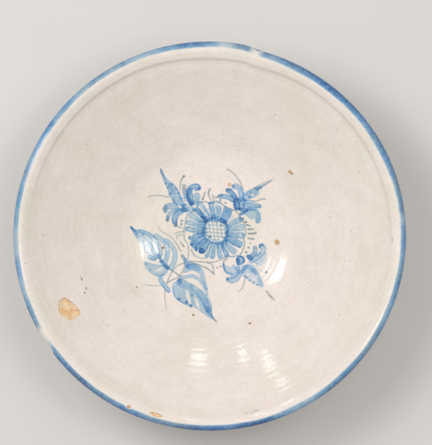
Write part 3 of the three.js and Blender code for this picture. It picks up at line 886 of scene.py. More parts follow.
@dataclass(frozen=True)
class EdgeBand:
    """The blue band that the brush laid along the lip's edge as the bowl turned."""

    form: BowlForm
    # Positive values make a stretch paler and negative ones darker. The darker stretches at 268 and 284
    # degrees are painted shade along the bottom of the band.
    wear_and_shade: tuple[WearAndShade, ...] = (
        WearAndShade(5, 3, 0.3), WearAndShade(24, 9, -0.02), WearAndShade(46, 18, -0.2), WearAndShade(70, 3, 0.15), WearAndShade(75.6, 2.8, 0.85),
        WearAndShade(85, 4, 0.4), WearAndShade(95, 7, -0.14), WearAndShade(110, 8, 0.3), WearAndShade(120, 4, 0.25), WearAndShade(132, 5, 0.2),
        WearAndShade(141, 4, 0.25), WearAndShade(154, 6, 0.1), WearAndShade(174, 5, 0.1), WearAndShade(183, 8, 0.45), WearAndShade(195, 7, 0.3),
        WearAndShade(211.5, 5, 0.8), WearAndShade(228, 8, -0.16), WearAndShade(246, 6, -0.05), WearAndShade(268, 12, -0.24),
        WearAndShade(284, 8, -0.5), WearAndShade(299, 9, 0.34), WearAndShade(337, 6, 0.22), WearAndShade(352, 6, 0.1),
    )
    broad_from: float = 18
    broad_to: float = 66
    broader: float = 0.9 * MM
    past_crest: float = 0.55 * MM
    inner_wander: float = 0.6 * MM
    lower_lift: float = 1.6 * MM
    lower_wander: float = 1.2 * MM

    @staticmethod
    def wander(direction: Array) -> Array:
        """How the brush swayed as the bowl turned: long sways and short ones, the same after a full turn."""
        slow, quick = 4, 19
        around = [(math.cos(math.radians(turn)), math.sin(math.radians(turn))) for turn in direction]
        return np.array([noise.noise(Vector((x * slow, y * slow, 0.7)))
                         + 0.5 * noise.noise(Vector((x * quick, y * quick, 3.1))) for x, y in around])

    def strength(self, places: Array) -> Array:
        """How strong the band's blue is at places on the lip, before they are pulled out of round.

        Args:
            places: Points of the round form, one per row.

        Returns:
            The strength of the blue at each, from 0 to about 1.
        """
        x, y, z = places.T
        radius = np.hypot(x, y)
        direction = np.degrees(np.arctan2(y, x)) % 360.0
        wander = self.wander(direction)
        form = self.form
        broad = smoothstep(direction, self.broad_from - 10, self.broad_from + 10) * (
            1.0 - smoothstep(direction, self.broad_to - 6, self.broad_to + 6))
        inner = form.crest_radius - self.past_crest - self.inner_wander * wander - self.broader * broad
        across = smoothstep(radius, inner - 0.5 * MM, inner + 0.9 * MM)
        deepening = 0.6 + 0.2 * smoothstep(radius, inner, form.rim_radius)
        lower = form.rim_height - form.band_drop + self.lower_lift + self.lower_wander * wander
        under = smoothstep(z, lower - 0.8 * MM, lower + 0.5 * MM)
        paler = np.zeros_like(radius)
        # Paler and darker stretches round the edge. The darker ones along the bottom are painted shade.
        for stretch in self.wear_and_shade:
            near = 1.0 - smoothstep(angle_between(direction, stretch.direction), 0.25 * stretch.spread,
                                    stretch.spread)
            paler += stretch.paler * near
        return across * under * deepening * np.clip(1.0 - paler + 0.16 * wander, 0.04, 1.3)


# Painting on meshes


@dataclass
class Painter:
    """Lays strokes and marks on the points of a mesh, as attributes that the glaze reads."""

    view: PhotoView
    softness: float = 0.28 * MM
    streaks: float = 0.16
    strongest: float = 0.97
    cover: float = 0.92
    crossing: float = 0.82

    @property
    def pixel(self) -> float:
        """The size of a photo pixel on the floor of the bowl."""
        form = self.view.form
        depth = self.view.target[2] - form.floor_top
        return self.view.metres_per_px * (1.0 + depth / self.view.distance)

    def across(self, stroke: Stroke, places: Array, margin: float) -> tuple[Array, Array, Array, Array]:
        """How places lie to one stroke.

        Args:
            stroke: The stroke.
            places: Points seen from above, one per row.
            margin: How far outside the stroke places still count.

        Returns:
            The indices of the places near the stroke, and for each its distance from the stroke's middle in
            half widths, its share of the stroke's length, and the half width there.
        """
        line = stroke.line(self.view)
        half = stroke.width * self.pixel / 2
        reach = half + margin
        low, high = line.min(axis=0) - reach, line.max(axis=0) + reach
        near = np.flatnonzero(((places > low) & (places < high)).all(axis=1))
        if not len(near):
            return near, np.empty(0), np.empty(0), np.empty(0)
        run = np.diff(line, axis=0)
        lengths = np.linalg.norm(run, axis=1)
        offset = places[near, None, :] - line[None, :-1, :]
        along = np.clip((offset * run).sum(axis=2) / np.maximum(lengths**2, 1e-16), 0.0, 1.0)
        gap = np.linalg.norm(offset - along[:, :, None] * run, axis=2)
        best = gap.argmin(axis=1)
        rows = np.arange(len(near))
        if stroke.touch is Touch.FILLED:
            depth = gap[rows, best] / half
            across = np.where(self.enclosed(line, places[near]), np.maximum(1.0 - depth, 0.0), 1.0 + depth)
            way = line[len(line) // 2] - line[0]
            share = np.clip((places[near] - line[0]) @ way / (way @ way), 0.0, 1.0)
            return near, across, share, np.full(len(near), half)
        passed = np.concatenate([[0.0], np.cumsum(lengths)])
        share = (passed[best] + along[rows, best] * lengths[best]) / passed[-1]
        width = half * stroke.touch.width_along(share)
        return near, gap[rows, best] / width, share, width

    def enclosed(self, outline: Array, places: Array) -> Array:
        """Which places lie inside a closed outline, told by how often a line to the right crosses it."""
        x, y = places[:, 0, None], places[:, 1, None]
        (x_from, y_from), (x_to, y_to) = outline[:-1].T, outline[1:].T
        spans = (y_from <= y) != (y_to <= y)
        rise = np.where(y_to == y_from, 1.0, y_to - y_from)
        crossing = x_from + (y - y_from) / rise * (x_to - x_from)
        return (spans & (crossing > x)).sum(axis=1) % 2 == 1

    def reached(self, strokes: Sequence[Stroke], places: Array, margin: float) -> Array:
        """Which places lie on a stroke or within a margin of it."""
        found = np.zeros(len(places), bool)
        for stroke in strokes:
            near, across, _, width = self.across(stroke, places, margin)
            found[near[across * width < width + margin]] = True
        return found

    def laid(self, strokes: Sequence[Stroke], places: Array, pooled: float) -> tuple[Array, Array]:
        """The blue that strokes leave, with colour pooled at their edges and deeper where they cross.

        Args:
            strokes: The strokes, in the order of painting.
            places: Points seen from above, one per row.
            pooled: How much stronger the colour is along a stroke's edge.

        Returns:
            The strength of the colour and its share of grey at each place.
        """
        strength = np.zeros(len(places))
        grey = np.zeros(len(places))
        for number, stroke in enumerate(strokes):
            near, across, share, width = self.across(stroke, places, 2 * self.softness)
            soft = self.softness / np.maximum(width, self.softness)
            touched = 1.0 - smoothstep(across, 1.0 - soft, 1.0 + soft)
            wet = 1.0 + pooled * (smoothstep(across, 0.45, 0.85) - 0.4)
            hairs = 1.0 + self.streaks * np.sin(7.0 * across + 1.7 * number + 4.0 * share)
            added = touched * wet * hairs * (stroke.start + (stroke.end - stroke.start) * share)
            before = strength[near]
            after = 1.0 - (1.0 - before) * (1.0 - np.clip(added, 0.0, self.strongest) * self.cover)
            gained = np.where(after > 0.0, (after - before) / np.maximum(after, 1e-6), 0.0)
            grey[near] += (stroke.grey - grey[near]) * gained
            highest = np.maximum(before, added)
            strength[near] = np.maximum(after * self.crossing + highest * (1.0 - self.crossing), before)
        return strength, grey


# Finishes


@dataclass
class NodeBench:
    """Builds the nodes of one material, and joins them."""

    name: str
    material: bpy.types.Material = field(init=False)
    shader: bpy.types.Node = field(init=False)

    def __post_init__(self) -> None:
        """Makes the material with its shader and output."""
        self.material = bpy.data.materials.new(self.name)
        self.material.use_nodes = True
        tree = self.material.node_tree
        tree.nodes.clear()
        self.shader = self.node("ShaderNodeBsdfPrincipled")
        output = self.node("ShaderNodeOutputMaterial")
        self.join(self.shader.outputs["BSDF"], output.inputs["Surface"])

    def node(self, kind: str, **settings: object) -> bpy.types.Node:
        """Adds a node with its settings."""
        node = self.material.node_tree.nodes.new(kind)
        for key, value in settings.items():
            setattr(node, key, value)
        return node

    def join(self, source: Socket, target: Socket) -> None:
        """Joins two sockets."""
        self.material.node_tree.links.new(source, target)

    def feed(self, node: bpy.types.Node, inputs: dict[str, object]) -> None:
        """Puts values, or other sockets' values, in a node's inputs, by their names."""
        for name, value in inputs.items():
            self.put(node.inputs[name], value)

    def put(self, socket: Socket, value: object) -> None:
        """Joins a socket to a value's socket, or sets it to a plain value."""
        if isinstance(value, Socket):
            self.join(value, socket)
        else:
            socket.default_value = value

    def attribute(self, name: str) -> Socket:
        """A number painted on the mesh's points."""
        return self.node("ShaderNodeAttribute", attribute_name=name).outputs["Fac"]

    def places(self) -> Socket:
        """Places on the object, in metres."""
        return self.node("ShaderNodeTexCoord").outputs["Object"]

    def grain(self, scale: float, detail: float = 3.0, roughness: float = 0.55) -> Socket:
        """Soft noise, scale counted in features a metre."""
        node = self.node("ShaderNodeTexNoise")
        self.feed(node, {"Vector": self.places(), "Scale": scale, "Detail": detail, "Roughness": roughness})
        return node.outputs["Fac"]

    def rings(self, spacing: float, distortion: float) -> Socket:
        """Rings round the turning axis, as a finger or a rib leaves them."""
        node = self.node("ShaderNodeTexWave", wave_type="RINGS", rings_direction="Z")
        self.feed(node, {"Vector": self.places(), "Scale": FULL_TURN / (20 * spacing),
                         "Distortion": distortion, "Detail": 2.0, "Detail Scale": 0.35})
        return node.outputs["Fac"]

    def turned_grain(self, spacing: float, spokes: float) -> Socket:
        """Noise drawn out round the turning axis, as glaze runs along the marks of throwing.

        Args:
            spacing: About how far apart its streaks lie.
            spokes: About how many streaks follow each other in a full turn.

        Returns:
            The noise, about 0.2 to 0.8.
        """
        flat = self.vector("MULTIPLY", self.places(), (1.0, 1.0, 0.0))
        stretch = spokes / FULL_TURN
        around = self.vector("MULTIPLY", self.vector("NORMALIZE", flat), (stretch, stretch, 0.0))
        length = self.node("ShaderNodeVectorMath", operation="LENGTH")
        self.join(flat, length.inputs[0])
        outward = self.node("ShaderNodeCombineXYZ")
        self.join(self.computed("DIVIDE", length.outputs["Value"], spacing), outward.inputs["Z"])
        streaks = self.node("ShaderNodeTexNoise")
        way = self.vector("ADD", around, outward.outputs["Vector"])
        self.feed(streaks, {"Vector": way, "Scale": 1.0, "Detail": 4.0})
        return streaks.outputs["Fac"]

    def vector(self, operation: str, first: object, second: object = (0.0, 0.0, 0.0)) -> Socket:
        """One step of arithmetic with places."""
        node = self.node("ShaderNodeVectorMath", operation=operation)
        self.put(node.inputs[0], first)
        self.put(node.inputs[1], second)
        return node.outputs["Vector"]

    def specks(self, spacing: float, size: float, share: float) -> Socket:
        """Tiny round specks, some way apart.

        Args:
            spacing: About how far apart they lie.
            size: How wide a speck is.
            share: How many of the possible specks there are, 0 to 1.

        Returns:
            1 in a speck and 0 elsewhere.
        """
        node = self.node("ShaderNodeTexVoronoi", feature="F1")
        self.feed(node, {"Vector": self.places(), "Scale": 1.0 / spacing})
        across = size / spacing
        near = self.ramped(node.outputs["Distance"], ((across * 0.35, 1.0), (across * 0.6, 0.0)))
        kept = self.computed("LESS_THAN", self.red_share(node.outputs["Color"]), share)
        return self.computed("MULTIPLY", near, kept)

    def red_share(self, color: Socket) -> Socket:
        """The red share of a colour, as a number."""
        node = self.node("ShaderNodeSeparateColor")
        self.join(color, node.inputs["Color"])
        return node.outputs["Red"]

    def computed(self, operation: str, first: object, second: object) -> Socket:
        """One step of arithmetic."""
        node = self.node("ShaderNodeMath", operation=operation)
        self.put(node.inputs[0], first)
        self.put(node.inputs[1], second)
        return node.outputs[0]

    def ramped(self, value: Socket, stops: Sequence[tuple[float, object]]) -> Socket:
        """A value read off a ramp.

        Args:
            value: The value.
            stops: Places on the ramp, each with a number or a linear colour.

        Returns:
            The ramp's colour there.
        """
        node = self.node("ShaderNodeValToRGB")
        elements = node.color_ramp.elements
        while len(elements) < len(stops):
            elements.new(0.5)
        for element, (place, tone) in zip(elements, stops):
            element.position = place
            element.color = tone if isinstance(tone, tuple) else (tone, tone, tone, 1.0)
        self.join(value, node.inputs["Fac"])
        return node.outputs["Color"]

    def mixed(self, first: object, second: object, share: object, blend: str = "MIX") -> Socket:
        """Two colours mixed."""
        node = self.node("ShaderNodeMix", data_type="RGBA", blend_type=blend, clamp_factor=True)
        self.put(node.inputs[0], share)
        self.put(node.inputs[6], first)
        self.put(node.inputs[7], second)
        return node.outputs[2]

    def bumped(self, height: object, depth: float, before: Socket | None = None) -> object:
        """The surface's normal with a relief in it, depth metres deep."""
        node = self.node("ShaderNodeBump")
        self.feed(node, {"Strength": 1.0, "Distance": depth, "Height": height})
        if before is not None:
            self.join(before, node.inputs["Normal"])
        return node.outputs["Normal"]


@dataclass(frozen=True)
class TinGlaze:
    """Opaque white glaze, glossy and a little uneven, with blue painted in it and rust and pinholes in it.

    Tones are as a screen shows them. Blues, greys and rusts give the tone for each strength of the colour.
    """

    name: str
    white: Tone = (234, 227, 221)
    rosy: Tone = (237, 226, 220)
    sallow: Tone = (230, 223, 212)
    speck: Tone = (150, 138, 124)
    pinhole: Tone = (118, 112, 104)
    gloss: float = 0.095
    ring_depth: float = 0.022 * MM
    ring_spacing: float = 4.7 * MM
    streak_spacing: float = 2.6 * MM
    band_spacing: float = 13 * MM
    peel_depth: float = 0.014 * MM
    speck_spacing: float = 14 * MM
    speck_size: float = 0.7 * MM
    speck_share: float = 0.3
    blues: tuple[tuple[float, Tone], ...] = (
        (0.0, (234, 227, 221)), (0.16, (205, 213, 219)), (0.36, (156, 186, 208)), (0.56, (114, 160, 200)),
        (0.72, (80, 130, 182)), (0.84, (54, 102, 162)), (1.0, (36, 72, 130)),
    )
    greys: tuple[tuple[float, Tone], ...] = (
        (0.0, (234, 227, 221)), (0.2, (200, 200, 194)), (0.4, (160, 165, 164)), (0.7, (102, 119, 134)),
        (1.0, (60, 76, 102)),
    )
    rusts: tuple[tuple[float, Tone], ...] = (
        (0.0, (228, 208, 184)), (0.45, (206, 162, 118)), (0.75, (146, 124, 100)), (1.0, (98, 80, 66)),
    )

    def tint(self, color: Tone) -> tuple[float, ...]:
        """What the paint takes from the white under it, as a colour to multiply by."""
        under = srgb(*self.white)
        return tuple(min(1.0, part / base) for part, base in zip(srgb(*color), under))

    def make(self) -> bpy.types.Material:
        """Builds the material."""
        bench = NodeBench(self.name)
        streaks = bench.turned_grain(self.streak_spacing, 26.0)
        color = self.marked(bench, self.painted(bench, self.ground(bench, streaks)))
        dull = bench.ramped(bench.grain(160, 3), ((0.3, self.gloss * 0.85), (0.75, self.gloss * 1.3)))
        bench.feed(bench.shader, {"Base Color": color, "Roughness": dull, "IOR": 1.5,
                                  "Normal": self.relief(bench, streaks)})
        return bench.material

    def ground(self, bench: NodeBench, streaks: Socket) -> Socket:
        """The white, rosy and sallow in patches, with clouds, fine mottle and the runs of throwing."""
        ground = bench.mixed(srgb(*self.sallow), srgb(*self.rosy),
                             bench.ramped(bench.grain(19, 3), ((0.36, 0.0), (0.62, 1.0))))
        clouds = bench.ramped(bench.grain(75, 4, 0.6), ((0.3, 0.95), (0.7, 1.0)))
        mottle = bench.ramped(bench.grain(460, 5, 0.8), ((0.34, 0.88), (0.64, 1.0)))
        runs = bench.ramped(streaks, ((0.3, (0.97, 0.964, 0.954, 1.0)), (0.62, 1.0)))
        broad = bench.turned_grain(self.band_spacing, 7.0)
        bands = bench.ramped(broad, ((0.3, (0.974, 0.966, 0.954, 1.0)), (0.7, 1.0)))
        for shade in (clouds, mottle, runs, bands):
            ground = bench.mixed(ground, shade, 1.0, "MULTIPLY")
        return ground

    def painted(self, bench: NodeBench, ground: Socket) -> Socket:
        """The blue that the mesh's points hold, broken by the glaze's grain and laid over the white."""
        coarse = bench.ramped(bench.grain(620, 5, 0.75), ((0.28, 0.7), (0.7, 1.02)))
        soft = bench.ramped(bench.grain(270, 3, 0.6), ((0.34, 0.86), (0.64, 1.08)))
        wash = bench.computed("MULTIPLY", bench.attribute("cobalt"), coarse)
        wash = bench.computed("MULTIPLY", wash, soft)
        blue = bench.ramped(wash, [(place, self.tint(color)) for place, color in self.blues])
        grey = bench.ramped(wash, [(place, self.tint(color)) for place, color in self.greys])
        return bench.mixed(ground, bench.mixed(blue, grey, bench.attribute("slate")), 1.0, "MULTIPLY")

    def marked(self, bench: NodeBench, ground: Socket) -> Socket:
        """Specks of dirt, rust and pinholes over the glaze."""
        specks = bench.specks(self.speck_spacing, self.speck_size, self.speck_share)
        ground = bench.mixed(ground, srgb(*self.speck), bench.computed("MULTIPLY", specks, 0.6))
        rust = bench.attribute("rust")
        rusty = bench.ramped(rust, [(place, srgb(*color)) for place, color in self.rusts])
        ground = bench.mixed(ground, rusty, bench.ramped(rust, ((0.04, 0.0), (0.4, 0.92))))
        pit = bench.attribute("pit")
        return bench.mixed(ground, srgb(*self.pinhole), bench.ramped(pit, ((0.05, 0.0), (0.8, 0.85))))

    def relief(self, bench: NodeBench, streaks: Socket) -> Socket:
        """The throwing rings, the runs along them, and the glaze's fine orange peel."""
        relief = bench.bumped(bench.rings(self.ring_spacing, 6.0), self.ring_depth)
        relief = bench.bumped(streaks, self.ring_depth, relief)
        relief = bench.bumped(bench.grain(260, 3, 0.5), self.peel_depth * 3, relief)
        return bench.bumped(bench.grain(900, 2, 0.5), self.peel_depth, relief)


@dataclass(frozen=True)
class FiredEarthenware:
    """Bare fired clay, matt and open, darker where hands and dirt reach it."""

    name: str
    pale: Tone = (242, 221, 188)
    warm: Tone = (230, 189, 140)
    dirt: Tone = (138, 110, 82)
    dirt_from: float = 0.57
    grit: Tone = (112, 74, 52)
    grit_spacing: float = 3.2 * MM
    grit_size: float = 0.5 * MM
    turning_spacing: float = 2.1 * MM
    turning_depth: float = 0.05 * MM
    grain_depth: float = 0.16 * MM

    def make(self) -> bpy.types.Material:
        """Builds the material."""
        bench = NodeBench(self.name)
        body = bench.mixed(srgb(*self.pale), srgb(*self.warm), bench.ramped(
            bench.grain(150, 5, 0.65), ((0.36, 0.0), (0.6, 1.0))))
        sand = bench.ramped(bench.grain(1400, 3, 0.7), ((0.3, 0.84), (0.7, 1.0)))
        body = bench.mixed(body, sand, 1.0, "MULTIPLY")
        soiled = bench.ramped(bench.grain(240, 5, 0.7),
                              ((self.dirt_from, 0.0), (self.dirt_from + 0.16, 0.75)))
        body = bench.mixed(body, srgb(*self.dirt), soiled)
        grit = bench.specks(self.grit_spacing, self.grit_size, 0.4)
        body = bench.mixed(body, srgb(*self.grit), bench.computed("MULTIPLY", grit, 0.7))
        relief = bench.bumped(bench.rings(self.turning_spacing, 3.0), self.turning_depth)
        relief = bench.bumped(bench.grain(700, 4, 0.65), self.grain_depth, relief)
        bench.feed(bench.shader, {"Base Color": body, "Roughness": 0.88, "Specular IOR Level": 0.3,
                                  "Normal": relief})
        return bench.material


@dataclass(frozen=True)
class BrokenGlaze:
    """The edge of the glaze where a piece fell away: white in the break and soiled."""

    name: str
    white: Tone = (238, 228, 210)
    soiled: Tone = (210, 182, 150)
    grain_depth: float = 0.08 * MM

    def make(self) -> bpy.types.Material:
        """Builds the material."""
        bench = NodeBench(self.name)
        tone = bench.mixed(srgb(*self.white), srgb(*self.soiled), bench.ramped(
            bench.grain(800, 4, 0.6), ((0.4, 0.0), (0.75, 1.0))))
        relief = bench.bumped(bench.grain(1500, 3), self.grain_depth)
        bench.feed(bench.shader, {"Base Color": tone, "Roughness": 0.6, "Normal": relief})
        return bench.material


# Pieces


def deselect_all() -> None:
    """Leaves nothing selected, neither objects nor parts of a mesh."""
    if bpy.context.mode != "OBJECT":
        bpy.ops.object.mode_set(mode="OBJECT")
    bpy.ops.object.select_all(action="DESELECT")


def choose(piece: Solid) -> None:
    """Selects one object and makes it the active one."""
    deselect_all()
    piece.select_set(True)
    bpy.context.view_layer.objects.active = piece


def points_of(piece: Solid) -> Array:
    """The places of a mesh's points, one per row."""
    flat = np.empty(len(piece.data.vertices) * 3)
    piece.data.vertices.foreach_get("co", flat)
    return flat.reshape(-1, 3)


def move_points(piece: Solid, places: Array) -> None:
    """Puts a mesh's points at new places."""
    piece.data.vertices.foreach_set("co", places.astype(np.float32).ravel())
    piece.data.update()


def paint_points(piece: Solid, name: str, values: Array) -> None:
    """Writes a number at each point of a mesh, for its finish to read."""
    layer = piece.data.attributes.get(name) or piece.data.attributes.new(name, "FLOAT", "POINT")
    layer.data.foreach_set("value", values.astype(np.float32))


def turned(name: str, line: Array, turns: int) -> Solid:
    """Turns a section round the axis, as a closed body.

    Args:
        name: The piece's name.
        line: The section as distances from the axis and heights. It starts and ends on the axis, or where
            it began.
        turns: How many steps the full turn has.

    Returns:
        The piece, smooth except where its section has a corner.
    """
    deselect_all()
    bpy.ops.mesh.primitive_plane_add(size=MM, location=(0.0, 0.0, 0.0))
    piece = bpy.context.object
    piece.name = piece.data.name = name
    bpy.ops.object.mode_set(mode="EDIT")
    bpy.ops.mesh.merge(type="CENTER")
    bpy.ops.transform.translate(value=(line[0, 0], 0.0, line[0, 1]))
    for across, up in np.diff(line, axis=0):
        bpy.ops.mesh.extrude_vertices_move(TRANSFORM_OT_translate={"value": (across, 0.0, up)})
    bpy.ops.mesh.select_all(action="SELECT")
    bpy.ops.mesh.spin(steps=turns, angle=FULL_TURN, center=(0.0, 0.0, 0.0), axis=(0.0, 0.0, 1.0))
    bpy.ops.mesh.select_all(action="SELECT")
    bpy.ops.mesh.remove_doubles(threshold=0.004 * MM)
    bpy.ops.mesh.normals_make_consistent(inside=False)
    bpy.ops.object.mode_set(mode="OBJECT")
    bpy.ops.object.shade_smooth_by_angle(angle=math.radians(40))
    return piece


@dataclass(frozen=True)
class Chip:
    """A chip out of the edge: where it lies, and how large it is."""

    direction: float
    inward: float
    down: float
    along: float
    across: float
    deep: float


@dataclass(frozen=True)
class Breakage:
    """What broke away: chips along the edge, and a scar on the wall where the glaze flaked off."""

    form: BowlForm
    chips: tuple[Chip, ...] = (
        Chip(214, 0.6 * MM, 3.5 * MM, 17 * MM, 4.6 * MM, 7 * MM),
        Chip(75, 1.6 * MM, 1.6 * MM, 9 * MM, 3.6 * MM, 4 * MM),
        Chip(253.6, 7.6 * MM, 1 * MM, 10 * MM, 2.3 * MM, 3.6 * MM),
        Chip(245, 5.6 * MM, 0.6 * MM, 2.6 * MM, 1.7 * MM, 3 * MM),
    )
    scar_direction: float = 207.2
    scar_from_axis: float = 130.4 * MM
    scar_tenth: float = 1 * MM
    scar_outline: tuple[Place, ...] = (
        (-4, 9), (0, 6), (5, 2), (8.5, -2.5), (7.5, -5.5), (2, -9.5), (-1.5, -9), (-6, -5.5), (-8.5, -2),
        (-8.5, 5), (-6.5, 8),
    )
    setback: float = 0.5 * MM
    roughness: float = 0.5 * MM
    chip_grain: float = 2.2 * MM
    scar_grain: float = 1.9 * MM
    scar_seed: int = 1

    def chip_cutter(self, chip: Chip, wider: float) -> Solid:
        """A rough ball of the chip's size, at its place on the edge.

        Args:
            chip: The chip.
            wider: How much larger than the chip the ball is all round.

        Returns:
            The ball, to be cut out of a piece.
        """
        deselect_all()
        bpy.ops.mesh.primitive_ico_sphere_add(subdivisions=4, radius=1.0)
        ball = bpy.context.object
        size = np.array([chip.across / 2, chip.along / 2, chip.deep / 2]) + wider
        unit = points_of(ball)
        apart = Vector((chip.direction, 0.0, 0.0))
        rough = np.array([noise.noise(Vector(place * size / self.chip_grain) + apart) for place in unit])
        shaped = unit * (size + self.roughness * rough[:, None])
        turn = math.radians(chip.direction)
        out = np.array([math.cos(turn), math.sin(turn), 0.0])
        aside = np.array([-math.sin(turn), math.cos(turn), 0.0])
        up = np.array([0.0, 0.0, 1.0])
        middle = out * (self.form.rim_radius - chip.inward) + up * (self.form.rim_height - chip.down)
        places = sum(np.outer(shaped[:, axis], way) for axis, way in enumerate((out, aside, up)))
        move_points(ball, places + middle)
        return ball

    def scar_cutter(self) -> Solid:
        """A prism of the scar's ragged outline, standing through the wall."""
        deselect_all()
        outline = np.array(self.scar_outline) * self.scar_tenth
        share = np.linspace(0.0, 1.0, 6)[:-1, None]
        follow = np.roll(outline, -1, axis=0)
        ragged = np.vstack([first + (last - first) * share for first, last in zip(outline, follow)])
        noise.seed_set(self.scar_seed)
        nudge = [noise.noise_vector(Vector((*place, 0.0)) / self.scar_grain)[:2] for place in ragged]
        turn = math.radians(self.scar_direction)
        middle = self.scar_from_axis * np.array([math.cos(turn), math.sin(turn)])
        bpy.ops.mesh.primitive_circle_add(vertices=len(ragged), radius=1.0, fill_type="NGON")
        prism = bpy.context.object
        edge = ragged + 0.9 * self.roughness * np.array(nudge) + middle
        move_points(prism, np.column_stack([edge, np.full(len(edge), self.form.foot_height)]))
        bpy.ops.object.mode_set(mode="EDIT")
        bpy.ops.mesh.select_all(action="SELECT")
        bpy.ops.mesh.extrude_region_move(TRANSFORM_OT_translate={"value": (0.0, 0.0, self.form.rim_height)})
        bpy.ops.mesh.select_all(action="SELECT")
        bpy.ops.mesh.normals_make_consistent(inside=False)
        bpy.ops.object.mode_set(mode="OBJECT")
        return prism

    def cut(self, piece: Solid, cutters: Iterable[Solid]) -> None:
        """Cuts shapes out of a piece, whose faces in the cut take its second finish.

        Args:
            piece: The piece that is cut.
            cutters: The shapes, which are used up.
        """
        for cutter in cutters:
            cutter.data.materials.append(None)
            cutter.data.materials.append(None)
            for face in cutter.data.polygons:
                face.material_index = 1
            choose(piece)
            modifier = piece.modifiers.new("cut", "BOOLEAN")
            modifier.operation = "DIFFERENCE"
            modifier.solver = "EXACT"
            modifier.object = cutter
            bpy.ops.object.modifier_apply(modifier=modifier.name)
            bpy.data.objects.remove(cutter)


@dataclass
class TurnedPiece:
    """A piece of the bowl that is turned round its axis, and what it stands for."""

    view: PhotoView
    breakage: Breakage
    name: str
    node: str
    slot: str

    @property
    def form(self) -> BowlForm:
        """The bowl's form."""
        return self.view.form

    def shape(self) -> Solid:
        """Models the piece. Each kind of piece has its own way."""
        raise NotImplementedError

    def finishes(self) -> list[bpy.types.Material]:
        """The piece's finish, and the one in its breaks."""
        raise NotImplementedError

    def build(self) -> Solid:
        """Models and dresses the piece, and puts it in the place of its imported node."""
        piece = self.shape()
        piece.data.materials.clear()
        for finish in self.finishes():
            piece.data.materials.append(finish)
        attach(piece, "root")
        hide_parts(self.node)
        log.info("%s: %d points, %d faces", piece.name, len(piece.data.vertices), len(piece.data.polygons))
        return piece

    def ridges(self, places: Array, depth: float, spacing: float) -> Array:
        """Height of the faint spiral ridges that the thrower's fingers left.

        Args:
            places: Points of the round form.
            depth: How far the ridges rise and fall.
            spacing: How far apart they are.

        Returns:
            The rise at each point.
        """
        radius = radius_of(places)
        turn = np.arctan2(places[:, 1], places[:, 0])
        up_wall = radius + 0.6 * np.maximum(places[:, 2] - self.form.floor_top, 0.0)
        drift = np.array([noise.noise(Vector(place) * 14.0) for place in places])
        swell = 0.6 + 0.6 * np.sin(up_wall / (31 * MM) + 1.3)
        crease = self.form.crease_radius
        fade = smoothstep(radius, 4 * MM, 16 * MM) * (1.0 - smoothstep(radius, 0.95 * crease, crease))
        return depth * fade * swell * np.sin(FULL_TURN * up_wall / spacing - turn + 2.4 * drift)


